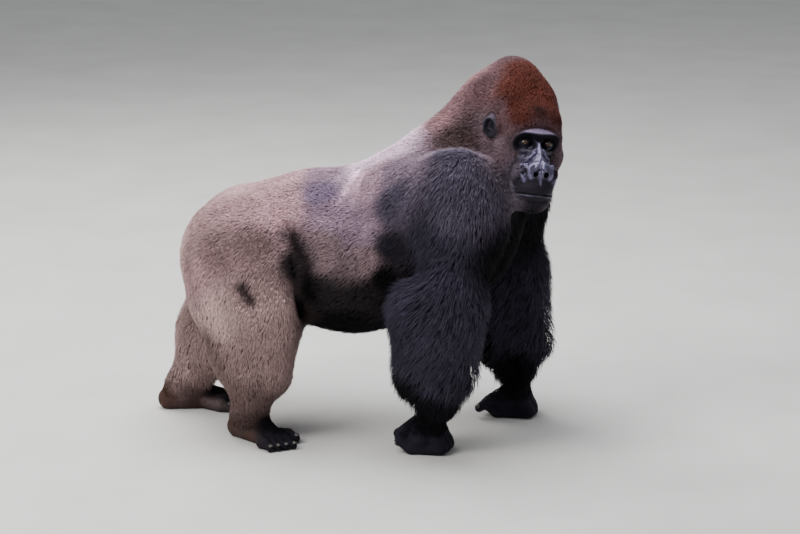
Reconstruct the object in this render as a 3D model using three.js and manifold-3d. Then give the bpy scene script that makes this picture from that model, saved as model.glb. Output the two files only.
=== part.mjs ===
// Western lowland gorilla, adult male, standing on its soles and knuckles with the head turned to its right.
// Millimetres. +X is forward along the trunk, +Y is the animal's left, +Z is up, and the floor is Z = 0.
// The body is one smooth form built from named masses of flesh and coat. It is then parted with thin cuts.
import * as THREE from "three";
import { mergeVertices } from "three/addons/utils/BufferGeometryUtils.js";
import Module from "manifold-3d";

// ---- Where the standing frame sits, and how finely each region is faceted ----

const GAP = 0.3; // width of the cut between neighbouring nodes
const CELL = { trunk: 68, neck: 58, head: 36, face: 18.4, ear: 9.8, limb: 56, hand: 20, foot: 23 };

// ---- Joints: [x, y, z] ----

const ARMS = {
  right: {
    side: -1,
    shoulder: [335, -215, 728],
    elbow: [318, -298, 480],
    wrist: [278, -235, 160],
    hand: [238, -205, 0],
  },
  left: {
    side: 1,
    shoulder: [405, 215, 728],
    elbow: [426, 290, 450],
    wrist: [448, 225, 150],
    hand: [440, 215, 0],
  },
};
const LEGS = {
  right: {
    side: -1,
    hip: [-345, -115, 562],
    knee: [-270, -190, 395],
    ankle: [-312, -180, 85],
    toesOut: 35,
    kneeTilt: 0,
  },
  left: {
    side: 1,
    hip: [-345, 100, 555],
    knee: [-405, 150, 330],
    ankle: [-585, 105, 90],
    toesOut: -12,
    kneeTilt: 0.48,
  },
};

// ---- Head: its frame is forward, left and up, its origin between the ears at the height of the eyes ----

const HEAD = { origin: [499, -60, 943], turn: -60, nod: 1, tilt: -5.5 };
// The face looks up and a little further round than the skull, turned about the point between the eyes.
const FACE = { pivot: [119, 0, 0], shift: [-2, -5.4, -0.5], turn: -3.8, nod: -14, tilt: -2.7 };
const FACE_PLANE = 62; // the face is ahead of this, in the head's frame
// The head is beyond all three of these cuts.
const NAPE_CUT = { place: [440, -97, 836], normal: [0.72, -0.2, 0.66] };
const RIGHT_SHOULDER_CUT = { place: [419, -138, 827], normal: [0.65, 0.35, 0.67] };
const LEFT_SHOULDER_CUT = { place: [420, 140, 945], normal: [0.2, -0.75, 0.63] };
const EYE = { radius: 12.5, apart: 72, forward: 119, up: 0 };
const EAR = { forward: 8, aside: 112, up: 26, height: 58, width: 44, depth: 22, lean: 12, flare: 38 };

// ---- Coat and flesh colours ----

const SILVER_BROWN = { color: 0x6a5a50, roughness: 0.9, metalness: 0 };
const BLACK_COAT = { color: 0x1d1b22, roughness: 0.85, metalness: 0 };
const CHESTNUT = { color: 0x4f3328, roughness: 0.9, metalness: 0 };
const DARK_BROWN = { color: 0x3b2f2b, roughness: 0.9, metalness: 0 };
const BARE_SKIN = { color: 0x17161a, roughness: 0.5, metalness: 0 };
const EYE_BROWN = { color: 0x3a2012, roughness: 0.15, metalness: 0 };

// ---- Fields: each takes a place and gives its distance to a surface, negative inside ----

// An oval mass at a place with a radius along each axis, turned about Z by some degrees.
function egg(place, radii, turn = 0) {
  const c = Math.cos(THREE.MathUtils.degToRad(turn));
  const s = Math.sin(THREE.MathUtils.degToRad(turn));
  return (x, y, z) => {
    const dx = x - place[0];
    const dy = y - place[1];
    const u = (dx * c + dy * s) / radii[0];
    const v = (dy * c - dx * s) / radii[1];
    const w = (z - place[2]) / radii[2];
    const near = Math.hypot(u, v, w);
    const slope = Math.hypot(u / radii[0], v / radii[1], w / radii[2]);
    return slope > 1e-9 ? (near * (near - 1)) / slope : -Math.min(...radii);
  };
}

// A round mass that tapers from one place to another.
function rod(from, to, startRadius, endRadius) {
  const [ax, ay, az] = from;
  const [bx, by, bz] = [to[0] - ax, to[1] - ay, to[2] - az];
  const square = bx * bx + by * by + bz * bz;
  return (x, y, z) => {
    const along = ((x - ax) * bx + (y - ay) * by + (z - az) * bz) / square;
    const t = Math.min(1, Math.max(0, along));
    const off = Math.hypot(x - ax - t * bx, y - ay - t * by, z - az - t * bz);
    return off - startRadius - t * (endRadius - startRadius);
  };
}

function smoothMin(a, b, reach) {
  const h = Math.max(reach - Math.abs(a - b), 0) / reach;
  return Math.min(a, b) - (h * h * reach) / 4;
}

// Several masses flowing into one another over a reach.
function blend(reach, ...masses) {
  return (x, y, z) => masses.reduce((d, mass) => smoothMin(d, mass(x, y, z), reach), 1e6);
}

// A mass with hollows pressed into it.
function hollow(reach, mass, ...hollows) {
  return (x, y, z) => hollows.reduce((d, hole) => -smoothMin(-d, hole(x, y, z), reach), mass(x, y, z));
}

// The same mass on both sides of the head, given for the left one.
function pair(make) {
  return [make(1), make(-1)];
}

function between(a, b, t) {
  return a.map((value, i) => value + t * (b[i] - value));
}

function shifted(a, dx, dy, dz) {
  return [a[0] + dx, a[1] + dy, a[2] + dz];
}

// ---- The head ----

function turning({ turn, nod, tilt }) {
  return new THREE.Matrix4()
    .makeRotationZ(THREE.MathUtils.degToRad(turn))
    .multiply(new THREE.Matrix4().makeRotationY(THREE.MathUtils.degToRad(nod)))
    .multiply(new THREE.Matrix4().makeRotationX(THREE.MathUtils.degToRad(tilt)));
}

const headMatrix = new THREE.Matrix4().makeTranslation(...HEAD.origin).multiply(turning(HEAD));
// From the frame of the face to the frame of the head.
const faceMatrix = new THREE.Matrix4()
  .makeTranslation(...shifted(FACE.pivot, ...FACE.shift))
  .multiply(turning(FACE))
  .multiply(new THREE.Matrix4().makeTranslation(...FACE.pivot.map((value) => -value)));

// A field given in the frame of a matrix, placed where the matrix puts it.
function placed(field, matrix) {
  const m = matrix.clone().invert().elements;
  return (x, y, z) =>
    field(
      m[0] * x + m[4] * y + m[8] * z + m[12],
      m[1] * x + m[5] * y + m[9] * z + m[13],
      m[2] * x + m[6] * y + m[10] * z + m[14],
    );
}

function skullField() {
  const braincase = egg([-42, 0, 30], [118, 100, 105]);
  const crest = egg([-106, 0, 104], [138, 92, 112]);
  const temples = pair((k) => egg([-34, k * 54, 52], [98, 56, 104]));
  const forehead = egg([66, 0, 50], [64, 88, 58]);
  const hinge = pair((k) => rod([-5, k * 74, -60], [30, k * 66, -120], 50, 42));
  const throat = egg([0, 0, -110], [110, 80, 80]);
  return blend(34, braincase, crest, ...temples, forehead, ...hinge, throat);
}

// The front of the head, in the frame of the face.
function frontField() {
  const brow = rod([108, -54, 28], [108, 54, 28], 24, 24);
  const cheekbones = pair((k) => rod([86, k * 62, 8], [56, k * 70, -24], 27, 37));
  const cheeks = pair((k) => egg([42, k * 55, -52], [60, 42, 60]));
  const jaw = pair((k) => rod([18, k * 56, -128], [108, k * 20, -162], 38, 29));
  const chin = egg([110, 0, -170], [40, 42, 32]);
  const palate = egg([70, 0, -42], [62, 50, 62]);
  return blend(28, brow, ...cheekbones, ...cheeks, ...jaw, chin, palate);
}

function muzzleField() {
  const bridge = rod([106, 0, 8], [144, 0, -74], 25, 34);
  const upperJaw = egg([104, 0, -112], [72, 62, 58]);
  const wings = pair((k) => egg([160, k * 25, -88], [23, 20, 21]));
  const tip = egg([171, 0, -80], [18, 17, 16]);
  const upperLip = egg([142, 0, -134], [38, 48, 24]);
  const lowerLip = egg([132, 0, -160], [34, 42, 16]);
  return blend(16, bridge, upperJaw, ...wings, tip, upperLip, lowerLip);
}

function headField() {
  const sockets = pair((k) => egg([142, (k * EYE.apart) / 2, -2], [30, 25, 15]));
  const nostrils = pair((k) => egg([184, k * 18, -91], [14, 10, 10]));
  const mouth = rod([178, -44, -152], [178, 44, -152], 5, 5);
  const onFace = (field) => placed(field, faceMatrix);
  const solid = blend(24, skullField(), onFace(frontField()), onFace(muzzleField()));
  return hollow(12, solid, ...[...sockets, ...nostrils, mouth].map(onFace));
}

// ---- The trunk and neck ----

function pelvisField() {
  const hips = egg([-325, -8, 562], [196, 192, 182]);
  const buttocks = pair((k) => egg([-388, -8 + k * 98, 545], [138, 112, 152]));
  return blend(60, hips, ...buttocks);
}

function bellyField() {
  const loin = egg([-140, -4, 590], [235, 225, 212]);
  const paunch = egg([-20, -10, 542], [270, 258, 236]);
  return blend(80, loin, paunch);
}

function chestField() {
  const ribs = egg([165, 0, 625], [250, 245, 252]);
  const breast = egg([305, 0, 680], [190, 225, 240]);
  const withers = rod([40, 0, 690], [250, 0, 785], 105, 125);
  return blend(80, ribs, breast, withers);
}

function neckField() {
  const nape = rod([170, -4, 758], [398, 30, 1020], 96, 104);
  const core = rod([290, 0, 795], [432, 22, 930], 165, 118);
  const throat = rod([400, -10, 780], [488, -30, 870], 128, 96);
  return blend(60, nape, core, throat);
}

function trunkField() {
  return blend(70, pelvisField(), bellyField(), chestField(), neckField());
}

// ---- The limbs ----

function armField({ side, shoulder, elbow, wrist }) {
  const deltoid = egg(shifted(shoulder, -5, -side * 8, 5), [158, 112, 188]);
  const bladeBack = shifted(shoulder, -200, -side * 95, 30);
  const blade = rod(bladeBack, shifted(shoulder, -20, -side * 25, 55), 110, 115);
  const upper = rod(shifted(shoulder, 10, side * 10, -30), elbow, 118, 98);
  const elbowHair = egg(shifted(elbow, -62, 0, -25), [128, 88, 112]);
  const forearm = rod(elbow, wrist, 98, 62);
  const skirt = rod(shifted(elbow, -80, 0, -70), shifted(wrist, -74, 0, 70), 100, 74);
  const frontHair = rod(shifted(elbow, 26, 0, -20), shifted(wrist, 68, 0, 80), 84, 60);
  return blend(60, deltoid, blade, upper, elbowHair, forearm, skirt, frontHair);
}

// A fist that rests on the backs of the bent fingers, with the thumb behind its inner side.
function handField({ side, wrist, hand }) {
  const knuckles = shifted(hand, 22, 0, 80);
  const palm = [-1, 0, 1].map((k) =>
    rod(shifted(wrist, 0, k * 16, -6), shifted(knuckles, -8, k * 27, 4), 36, 32));
  const fingers = [-1.5, -0.5, 0.5, 1.5].map((k) => {
    const aside = k * 29;
    const reach = 7 * (2 - Math.abs(k + side * 0.3));
    const bend = shifted(hand, 48 + reach, aside, 20);
    const rest = shifted(hand, -38 - reach, aside, 15);
    const first = rod(shifted(knuckles, 0, aside, 0), shifted(bend, -4, 0, 6), 23, 20);
    const second = rod(bend, rest, 20, 18);
    const last = rod(rest, shifted(rest, -34, 0, 22), 18, 14);
    return blend(8, first, second, last);
  });
  const thumb = rod(shifted(hand, -10, -side * 48, 92), shifted(hand, -98, -side * 56, 30), 23, 14);
  const hollow = rod(shifted(hand, -14, -34, 50), shifted(hand, -14, 34, 50), 36, 36);
  return blend(20, ...palm, ...fingers, hollow, thumb);
}

function legField({ side, hip, knee, ankle }) {
  const thigh = rod(hip, knee, 168, 128);
  const hamstring = egg(shifted(between(hip, knee, 0.55), -58, 0, -10), [146, 110, 190]);
  const shank = rod(knee, ankle, 118, 56);
  const calf = egg(shifted(between(knee, ankle, 0.38), -38, side * 4, 0), [110, 86, 126]);
  const shin = rod(shifted(knee, 14, 0, -60), shifted(ankle, 72, 0, 118), 94, 64);
  return blend(50, thigh, hamstring, shank, calf, shin);
}

// A flat foot: heel, arch, ball, four toes and the great toe set apart.
function footField({ side, ankle, toesOut }) {
  const angle = THREE.MathUtils.degToRad(-toesOut);
  const at = (forward, out, up) => [
    ankle[0] + forward * Math.cos(angle) - side * out * Math.sin(angle),
    ankle[1] + forward * Math.sin(angle) + side * out * Math.cos(angle),
    up,
  ];
  const heel = rod(at(-48, 0, 30), at(-10, 0, 62), 36, 46);
  const arch = rod(at(-40, 0, 26), at(110, 6, 26), 34, 34);
  const instep = rod(at(0, 0, 66), at(95, 4, 34), 42, 30);
  const ball = rod(at(112, -24, 24), at(104, 38, 20), 26, 24);
  const toes = [-14, 8, 29, 49].map((out, i) => {
    const tip = at(178 - 9 * i, out * 1.12, 13);
    const middle = at(148 - 7 * i, out, 24);
    return blend(6, rod(at(108, out, 22), middle, 15, 14), rod(middle, tip, 14, 11));
  });
  const greatRoot = rod(at(70, -26, 24), at(112, -56, 22), 22, 18);
  const greatTip = rod(at(112, -56, 22), at(138, -62, 15), 18, 14);
  const greatToe = blend(8, greatRoot, greatTip);
  return blend(12, heel, arch, instep, ball, ...toes, greatToe);
}

function wholeField() {
  const arms = Object.values(ARMS).map((arm) => blend(14, armField(arm), handField(arm)));
  const legs = Object.values(LEGS).map((leg) => blend(26, legField(leg), footField(leg)));
  return blend(40, blend(26, trunkField(), placed(headField(), headMatrix)), ...arms, ...legs);
}

// ---- From a field to a closed faceted surface ----

const CORNERS = [0, 1, 2, 3, 4, 5, 6, 7].map((i) => [i & 1, (i >> 1) & 1, i >> 2]);
const EDGES = CORNERS.flatMap((a, i) =>
  [1, 2, 4].filter((bit) => !(i & bit)).map((bit) => [i, i | bit]));

// Walks a vertex onto the surface, by no more than a part of a cell.
function settle(field, p, cell) {
  const step = cell * 0.05;
  for (let turn = 0; turn < 3; turn += 1) {
    const d = field(...p);
    if (Math.abs(d) > cell) {
      return p;
    }
    const slope = [0, 1, 2].map((i) => {
      const q = [...p];
      q[i] += step;
      return (field(...q) - d) / step;
    });
    const steep = slope[0] ** 2 + slope[1] ** 2 + slope[2] ** 2 || 1;
    const move = THREE.MathUtils.clamp(d / steep, -cell * 0.3, cell * 0.3);
    p = p.map((value, i) => value - move * slope[i]);
  }
  return p;
}

// One vertex for each cell that the surface crosses, and one quad for each crossed edge of the grid.
function surface(field, low, high, cell) {
  const count = low.map((value, i) => Math.ceil((high[i] - value) / cell) + 1);
  const at = (i, j, k) => i + count[0] * (j + count[1] * k);
  const values = new Float64Array(count[0] * count[1] * count[2]);
  for (let k = 0; k < count[2]; k += 1) {
    for (let j = 0; j < count[1]; j += 1) {
      for (let i = 0; i < count[0]; i += 1) {
        const rim = [i, j, k].some((n, axis) => n === 0 || n === count[axis] - 1);
        const d = field(low[0] + i * cell, low[1] + j * cell, low[2] + k * cell);
        values[at(i, j, k)] = rim ? Math.max(d, cell * 0.5) : d;
      }
    }
  }
  const positions = [];
  const vertexOf = new Map();
  for (let k = 0; k < count[2] - 1; k += 1) {
    for (let j = 0; j < count[1] - 1; j += 1) {
      for (let i = 0; i < count[0] - 1; i += 1) {
        const d = CORNERS.map(([a, b, c]) => values[at(i + a, j + b, k + c)]);
        const crossed = EDGES.filter(([a, b]) => (d[a] < 0) !== (d[b] < 0));
        if (crossed.length) {
          const sum = [0, 0, 0];
          for (const [a, b] of crossed) {
            const t = d[a] / (d[a] - d[b]);
            between(CORNERS[a], CORNERS[b], t).forEach((value, axis) => {
              sum[axis] += value / crossed.length;
            });
          }
          vertexOf.set(at(i, j, k), positions.length / 3);
          const p = [i, j, k].map((n, axis) => low[axis] + (n + sum[axis]) * cell);
          positions.push(...settle(field, p, cell));
        }
      }
    }
  }
  const faces = [];
  const strides = [at(1, 0, 0), at(0, 1, 0), at(0, 0, 1)];
  for (const here of vertexOf.keys()) {
    for (let axis = 0; axis < 3; axis += 1) {
      const inside = values[here] < 0;
      if (inside !== values[here + strides[axis]] < 0) {
        const u = strides[(axis + 1) % 3];
        const v = strides[(axis + 2) % 3];
        const quad = [here, here - u, here - u - v, here - v].map((n) => vertexOf.get(n));
        const [a, b, c, d] = inside ? quad : quad.reverse();
        faces.push(a, b, c, a, c, d);
      }
    }
  }
  const geometry = new THREE.BufferGeometry();
  geometry.setAttribute("position", new THREE.Float32BufferAttribute(positions, 3));
  geometry.setIndex(faces);
  return geometry;
}

// ---- Solids: cutting and joining ----

const wasm = await Module();
wasm.setup();

// A three.js shape with one vertex at each corner.
function welded(geometry) {
  const bare = geometry.clone();
  bare.deleteAttribute("normal");
  bare.deleteAttribute("uv");
  return mergeVertices(bare, 1e-3);
}

function solidOf(geometry) {
  return new wasm.Manifold(new wasm.Mesh({
    numProp: 3,
    vertProperties: geometry.attributes.position.array,
    triVerts: new Uint32Array(geometry.index.array),
  }));
}

function geometryOf(solid) {
  const mesh = solid.getMesh();
  const geometry = new THREE.BufferGeometry();
  const positions = Float32Array.from(mesh.vertProperties);
  geometry.setAttribute("position", new THREE.BufferAttribute(positions, 3));
  geometry.setIndex(largestPiece(Array.from(mesh.triVerts), positions.length / 3));
  return geometry;
}

// The faces of the piece with the most faces: a cut can leave crumbs where it grazes the surface.
function largestPiece(faces, vertexCount) {
  const parent = Array.from({ length: vertexCount }, (_, i) => i);
  const rootOf = (i) => {
    while (parent[i] !== i) {
      parent[i] = parent[parent[i]];
      i = parent[i];
    }
    return i;
  };
  for (let i = 0; i < faces.length; i += 3) {
    parent[rootOf(faces[i + 1])] = rootOf(faces[i]);
    parent[rootOf(faces[i + 2])] = rootOf(faces[i]);
  }
  const sizes = new Map();
  faces.forEach((vertex) => sizes.set(rootOf(vertex), (sizes.get(rootOf(vertex)) ?? 0) + 1));
  const [largest] = [...sizes].reduce((a, b) => (b[1] > a[1] ? b : a));
  return faces.filter((_, i) => rootOf(faces[i - (i % 3)]) === largest);
}

// ---- The regions that the body is parted into, each a box that is taken off before the next ----

const REACH = 1400;

// The part of space beyond a plane through a place: the side that the normal points to.
function beyond(place, normal) {
  const ahead = new THREE.Vector3(...normal).normalize();
  const turned = new THREE.Quaternion().setFromUnitVectors(new THREE.Vector3(1, 0, 0), ahead);
  return (margin) => {
    const geometry = welded(new THREE.BoxGeometry(REACH, 3 * REACH, 3 * REACH));
    geometry.translate(REACH / 2 - margin, 0, 0);
    geometry.applyQuaternion(turned);
    geometry.translate(...place);
    return solidOf(geometry);
  };
}

// Space that lies beyond several planes at once.
function within(...sides) {
  return (margin) => sides.map((side) => side(margin)).reduce((a, b) => a.intersect(b));
}

function armRegions({ side, shoulder, elbow, wrist }) {
  const behind = beyond([shoulder[0] - 185, 0, 0], [1, 0, 0]);
  const besideChest = beyond([0, side * 180, 690], [0, side * 0.985, 0.16]);
  const besideBelly = beyond([0, side * 59, 0], [0.21, side, -0.41]);
  const aboveElbow = beyond(elbow, [0.05, 0, 1]);
  const belowElbow = beyond(elbow, [-0.05, 0, -1]);
  const aboveWrist = beyond(shifted(wrist, 0, 0, -22), [0, 0, 1]);
  const belowWrist = beyond(shifted(wrist, 0, 0, -22), [0, 0, -1]);
  const before = beyond([elbow[0] - 205, 0, 0], [1, 0, 0]);
  const outer = beyond([0, side * 60, 0], [0, side, 0]);
  return {
    upper_arm: within(behind, besideChest, aboveElbow),
    forearm: within(before, besideBelly, belowElbow, aboveWrist),
    hand: within(before, outer, belowWrist),
  };
}

function legRegions({ side, hip, knee, ankle, kneeTilt }) {
  const middle = beyond([0, -15, 0], [0, side, 0]);
  const hipCut = beyond([0, side * 60, 545], [0, side * 0.86, -0.51]);
  const groin = beyond([-150, 0, 440], [-1, 0, -0.17]);
  const aboveKnee = beyond(knee, [kneeTilt, 0, 1]);
  const belowKnee = beyond(knee, [-kneeTilt, 0, -1]);
  const aboveAnkle = beyond(ankle, [0, 0, 1]);
  const belowAnkle = beyond(ankle, [0, 0, -1]);
  return {
    thigh: within(middle, hipCut, groin, aboveKnee),
    shank: within(middle, groin, belowKnee, aboveAnkle),
    foot: within(middle, groin, belowAnkle),
  };
}

// Space on the head's side of a plane given in the head's frame.
function beyondOnHead(place, normal) {
  const at = new THREE.Vector3(...place).applyMatrix4(headMatrix);
  return beyond(at.toArray(), new THREE.Vector3(...normal).transformDirection(headMatrix).toArray());
}

const EVERYWHERE = beyond([-REACH / 2, 0, 0], [1, 0, 0]);

// Each region: its node's name, its corners, the size of its facets, its colour and the space it takes.
function regions() {
  const face = beyondOnHead([FACE_PLANE, 0, 0], [1, 0, 0]);
  const headCuts = [NAPE_CUT, RIGHT_SHOULDER_CUT, LEFT_SHOULDER_CUT];
  const skull = within(...headCuts.map(({ place, normal }) => beyond(place, normal)));
  const list = [
    ["face", [380, -380, 640], [760, 180, 1120], CELL.face, BARE_SKIN, within(face, skull)],
    ["head", [240, -300, 640], [760, 260, 1260], CELL.head, CHESTNUT, skull],
  ];
  for (const [name, arm] of Object.entries(ARMS)) {
    const cut = armRegions(arm);
    const near = (low, high) => [shifted(arm.shoulder, ...low), shifted(arm.shoulder, ...high)];
    list.push(
      ["hand_" + name, ...near([-300, -200, -800], [200, 200, -500]), CELL.hand, BARE_SKIN, cut.hand],
      ["forearm_" + name, ...near([-330, -260, -700], [240, 260, -180]), CELL.limb, BLACK_COAT, cut.forearm],
      ["upper_arm_" + name, ...near([-300, -280, -330], [260, 280, 280]), CELL.limb, BLACK_COAT,
        cut.upper_arm],
    );
  }
  for (const [name, leg] of Object.entries(LEGS)) {
    const cut = legRegions(leg);
    const near = (low, high) => [shifted(leg.ankle, ...low), shifted(leg.ankle, ...high)];
    list.push(
      ["foot_" + name, ...near([-140, -260, -140], [300, 260, 60]), CELL.foot, BARE_SKIN, cut.foot],
      ["shank_" + name, ...near([-200, -220, -60], [420, 220, 380]), CELL.limb, DARK_BROWN, cut.shank],
      ["thigh_" + name, ...near([-280, -320, 160], [560, 320, 760]), CELL.limb, SILVER_BROWN, cut.thigh],
    );
  }
  list.push(
    ["neck", [-60, -320, 560], [680, 320, 1200], CELL.neck, SILVER_BROWN,
      beyond([150, 0, 880], [0.5, 0, 0.87])],
    ["chest", [-40, -420, 300], [700, 420, 1040], CELL.trunk, BLACK_COAT,
      beyond([90, 0, 600], [1, 0, 0.12])],
    ["belly", [-340, -380, 240], [240, 380, 940], CELL.trunk, SILVER_BROWN,
      beyond([-190, 0, 600], [1, 0, 0.1])],
    ["pelvis", [-640, -380, 240], [0, 380, 900], CELL.trunk, SILVER_BROWN, EVERYWHERE],
  );
  return list;
}

// ---- Eyes and ears ----

function eyeSolid(side, margin) {
  const ball = welded(new THREE.SphereGeometry(EYE.radius + margin, 10, 6));
  ball.translate(EYE.forward, (side * EYE.apart) / 2, EYE.up);
  ball.applyMatrix4(faceMatrix).applyMatrix4(headMatrix);
  return solidOf(ball);
}

// A shell with a raised rim round a hollow, leaning back and standing off the side of the head.
function earField(side) {
  const lean = THREE.MathUtils.degToRad(EAR.lean);
  const flare = THREE.MathUtils.degToRad(EAR.flare);
  const frame = new THREE.Matrix4()
    .makeTranslation(EAR.forward, side * EAR.aside, EAR.up)
    .multiply(new THREE.Matrix4().makeRotationZ(-side * flare))
    .multiply(new THREE.Matrix4().makeRotationY(-lean));
  const shell = egg([0, 0, 0], [EAR.width / 2, EAR.depth / 2, EAR.height / 2]);
  const lobe = egg([3, 0, -EAR.height * 0.4], [10, 7, 12]);
  const bowl = egg([4, side * EAR.depth * 0.55, 0], [EAR.width * 0.3, EAR.depth * 0.45, EAR.height * 0.3]);
  return placed(hollow(5, blend(8, shell, lobe), bowl), frame);
}

function earSolid(side, head) {
  const field = placed(earField(side), headMatrix);
  const at = new THREE.Vector3(EAR.forward, side * EAR.aside, EAR.up).applyMatrix4(headMatrix);
  const reach = EAR.height;
  const low = at.clone().addScalar(-reach).toArray();
  const high = at.clone().addScalar(reach).toArray();
  const off = new THREE.Vector3(0, side * GAP, 0).transformDirection(headMatrix).multiplyScalar(GAP);
  return solidOf(surface(field, low, high, CELL.ear)).subtract(head).subtract(head.translate(off.toArray()));
}

// ---- The whole animal ----

function parted() {
  const field = wholeField();
  const floor = beyond([0, 0, 0], [0, 0, 1])(0);
  const nodes = [];
  let taken = null;
  for (const [name, low, high, cell, coat, space] of regions()) {
    let solid = solidOf(surface(field, low, high, cell)).intersect(floor).intersect(space(-GAP / 2));
    if (taken) {
      solid = solid.subtract(taken);
    }
    nodes.push({ name, solid, coat });
    const grown = space(GAP / 2);
    taken = taken ? taken.add(grown) : grown;
  }
  return nodes;
}

function gorilla() {
  const nodes = parted();
  const find = (name) => nodes.find((node) => node.name === name);
  for (const [name, side] of [["left", 1], ["right", -1]]) {
    find("face").solid = find("face").solid.subtract(eyeSolid(side, GAP));
    nodes.push({ name: "eye_" + name, solid: eyeSolid(side, 0), coat: EYE_BROWN });
    nodes.push({ name: "ear_" + name, solid: earSolid(side, find("head").solid), coat: BARE_SKIN });
  }
  const group = new THREE.Group();
  for (const { name, solid, coat } of nodes) {
    const mesh = new THREE.Mesh(geometryOf(solid), new THREE.MeshStandardMaterial(coat));
    mesh.name = name;
    group.add(mesh);
  }
  const bounds = new THREE.Box3().setFromObject(group);
  const middle = bounds.getCenter(new THREE.Vector3());
  group.children.forEach((mesh) => mesh.geometry.translate(-middle.x, -middle.y, 0));
  return group;
}

export default gorilla();
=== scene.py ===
# Western lowland gorilla, adult male: one skin, a coat of solid tufts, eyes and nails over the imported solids.
# Lengths are in millimetres in the frame of the joints; build() turns them into metres in the row's frame.
import math

import bmesh
import bpy
import numpy as np
from mathutils import Matrix, Vector


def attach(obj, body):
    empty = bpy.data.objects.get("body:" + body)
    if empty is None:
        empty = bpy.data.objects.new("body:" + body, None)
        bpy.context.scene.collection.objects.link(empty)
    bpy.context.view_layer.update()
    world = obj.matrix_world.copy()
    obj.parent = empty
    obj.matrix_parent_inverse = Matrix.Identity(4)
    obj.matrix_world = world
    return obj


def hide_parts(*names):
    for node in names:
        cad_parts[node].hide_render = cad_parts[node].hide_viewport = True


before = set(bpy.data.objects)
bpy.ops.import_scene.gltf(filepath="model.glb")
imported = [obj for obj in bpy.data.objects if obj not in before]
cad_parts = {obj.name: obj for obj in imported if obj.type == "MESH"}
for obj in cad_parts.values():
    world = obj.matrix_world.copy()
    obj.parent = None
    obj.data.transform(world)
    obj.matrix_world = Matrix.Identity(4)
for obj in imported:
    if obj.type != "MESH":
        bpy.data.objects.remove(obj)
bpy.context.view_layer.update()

RNG = np.random.default_rng(7)
OFFSET = np.array([21.519, 3.225, 0.0])  # from the frame of the joints to the row's frame

# ---- Joints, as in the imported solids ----

ARMS = {
    "right": dict(side=-1, shoulder=(335, -215, 728), elbow=(318, -298, 480), wrist=(278, -235, 160),
                  hand=(238, -205, 0)),
    "left": dict(side=1, shoulder=(405, 215, 728), elbow=(426, 290, 450), wrist=(448, 225, 150),
                 hand=(440, 215, 0)),
}
LEGS = {
    "right": dict(side=-1, hip=(-345, -115, 562), knee=(-270, -190, 395), ankle=(-312, -180, 85),
                  toes_out=35),
    "left": dict(side=1, hip=(-345, 100, 555), knee=(-405, 150, 330), ankle=(-585, 105, 90),
                 toes_out=-12),
}
HEAD = dict(origin=(499, -60, 943), turn=-60, nod=1, tilt=-5.5)
# The face looks up and a little further round than the skull, turned about the point between the eyes.
FACE = dict(pivot=(119, 0, 0), shift=(-2, -5.4, -0.5), turn=-3.8, nod=-14, tilt=-2.7)
EYE = dict(radius=12.5, apart=72, forward=119, up=0)
EAR = dict(forward=8, aside=112, up=26, height=58, width=44, depth=22, lean=12, flare=38)

# ---- Rows of vectors ----


def dots(a, b):
    return np.einsum("ij,ij->i", a, b)


def lengths(v):
    return np.sqrt(dots(v, v))


def unit(v):
    return v / np.maximum(lengths(v), 1e-9)[:, None]


# ---- Fields: each takes points (n, 3) and gives their distance to a surface, negative inside ----


def egg(place, radii):
    place = np.array(place, np.float32)
    radii = np.array(radii, np.float32)

    def field(p):
        u = (p - place) / radii
        near = lengths(u)
        return near * (near - 1) / np.maximum(lengths(u / radii), 1e-6)
    return field


def rod(start, end, start_radius, end_radius):
    start = np.array(start, np.float32)
    line = np.array(end, np.float32) - start
    square = float(line @ line)

    def field(p):
        q = p - start
        t = np.clip(q @ line / square, 0, 1)
        q = q - t[:, None] * line
        return lengths(q) - start_radius - t * (end_radius - start_radius)
    return field


def smooth_min(a, b, reach):
    h = np.maximum(reach - np.abs(a - b), 0) / reach
    return np.minimum(a, b) - h * h * reach / 4


def blend(reach, *masses):
    def field(p):
        d = masses[0](p)
        for mass in masses[1:]:
            d = smooth_min(d, mass(p), reach)
        return d
    return field


def hollow(reach, mass, *holes):
    def field(p):
        d = mass(p)
        for hole in holes:
            d = -smooth_min(-d, hole(p), reach)
        return d
    return field


def pair(make):
    return [make(1), make(-1)]


def between(a, b, t):
    return tuple(u + t * (v - u) for u, v in zip(a, b))


def shifted(a, dx, dy, dz):
    return (a[0] + dx, a[1] + dy, a[2] + dz)


def smoothstep(low, high, x):
    t = np.clip((x - low) / (high - low), 0, 1)
    return t * t * (3 - 2 * t)


def bell(x, middle, width):
    return np.exp(-(((x - middle) / width) ** 2))


# ---- The head ----

def turning(turns):
    return (
        Matrix.Rotation(math.radians(turns["turn"]), 4, "Z")
        @ Matrix.Rotation(math.radians(turns["nod"]), 4, "Y")
        @ Matrix.Rotation(math.radians(turns["tilt"]), 4, "X")
    )


HEAD_FRAME = Matrix.Translation(HEAD["origin"]) @ turning(HEAD)
PIVOT = Vector(FACE["pivot"])
FACE_IN_HEAD = Matrix.Translation(PIVOT + Vector(FACE["shift"])) @ turning(FACE) @ Matrix.Translation(-PIVOT)
FACE_FRAME = HEAD_FRAME @ FACE_IN_HEAD


def in_frame(p, matrix):
    m = np.array(matrix.inverted(), np.float32)
    return p @ m[:3, :3].T + m[:3, 3]


def moved(field, matrix):
    return lambda p: field(in_frame(p, matrix))


def on_head(point):
    return tuple(HEAD_FRAME @ Vector(point))


def on_face(point):
    return tuple(FACE_FRAME @ Vector(point))


def head_way(direction):
    return tuple(HEAD_FRAME.to_3x3() @ Vector(direction))


def head_points(p):
    return in_frame(p, HEAD_FRAME)


def face_points(p):
    return in_frame(p, FACE_FRAME)


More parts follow.
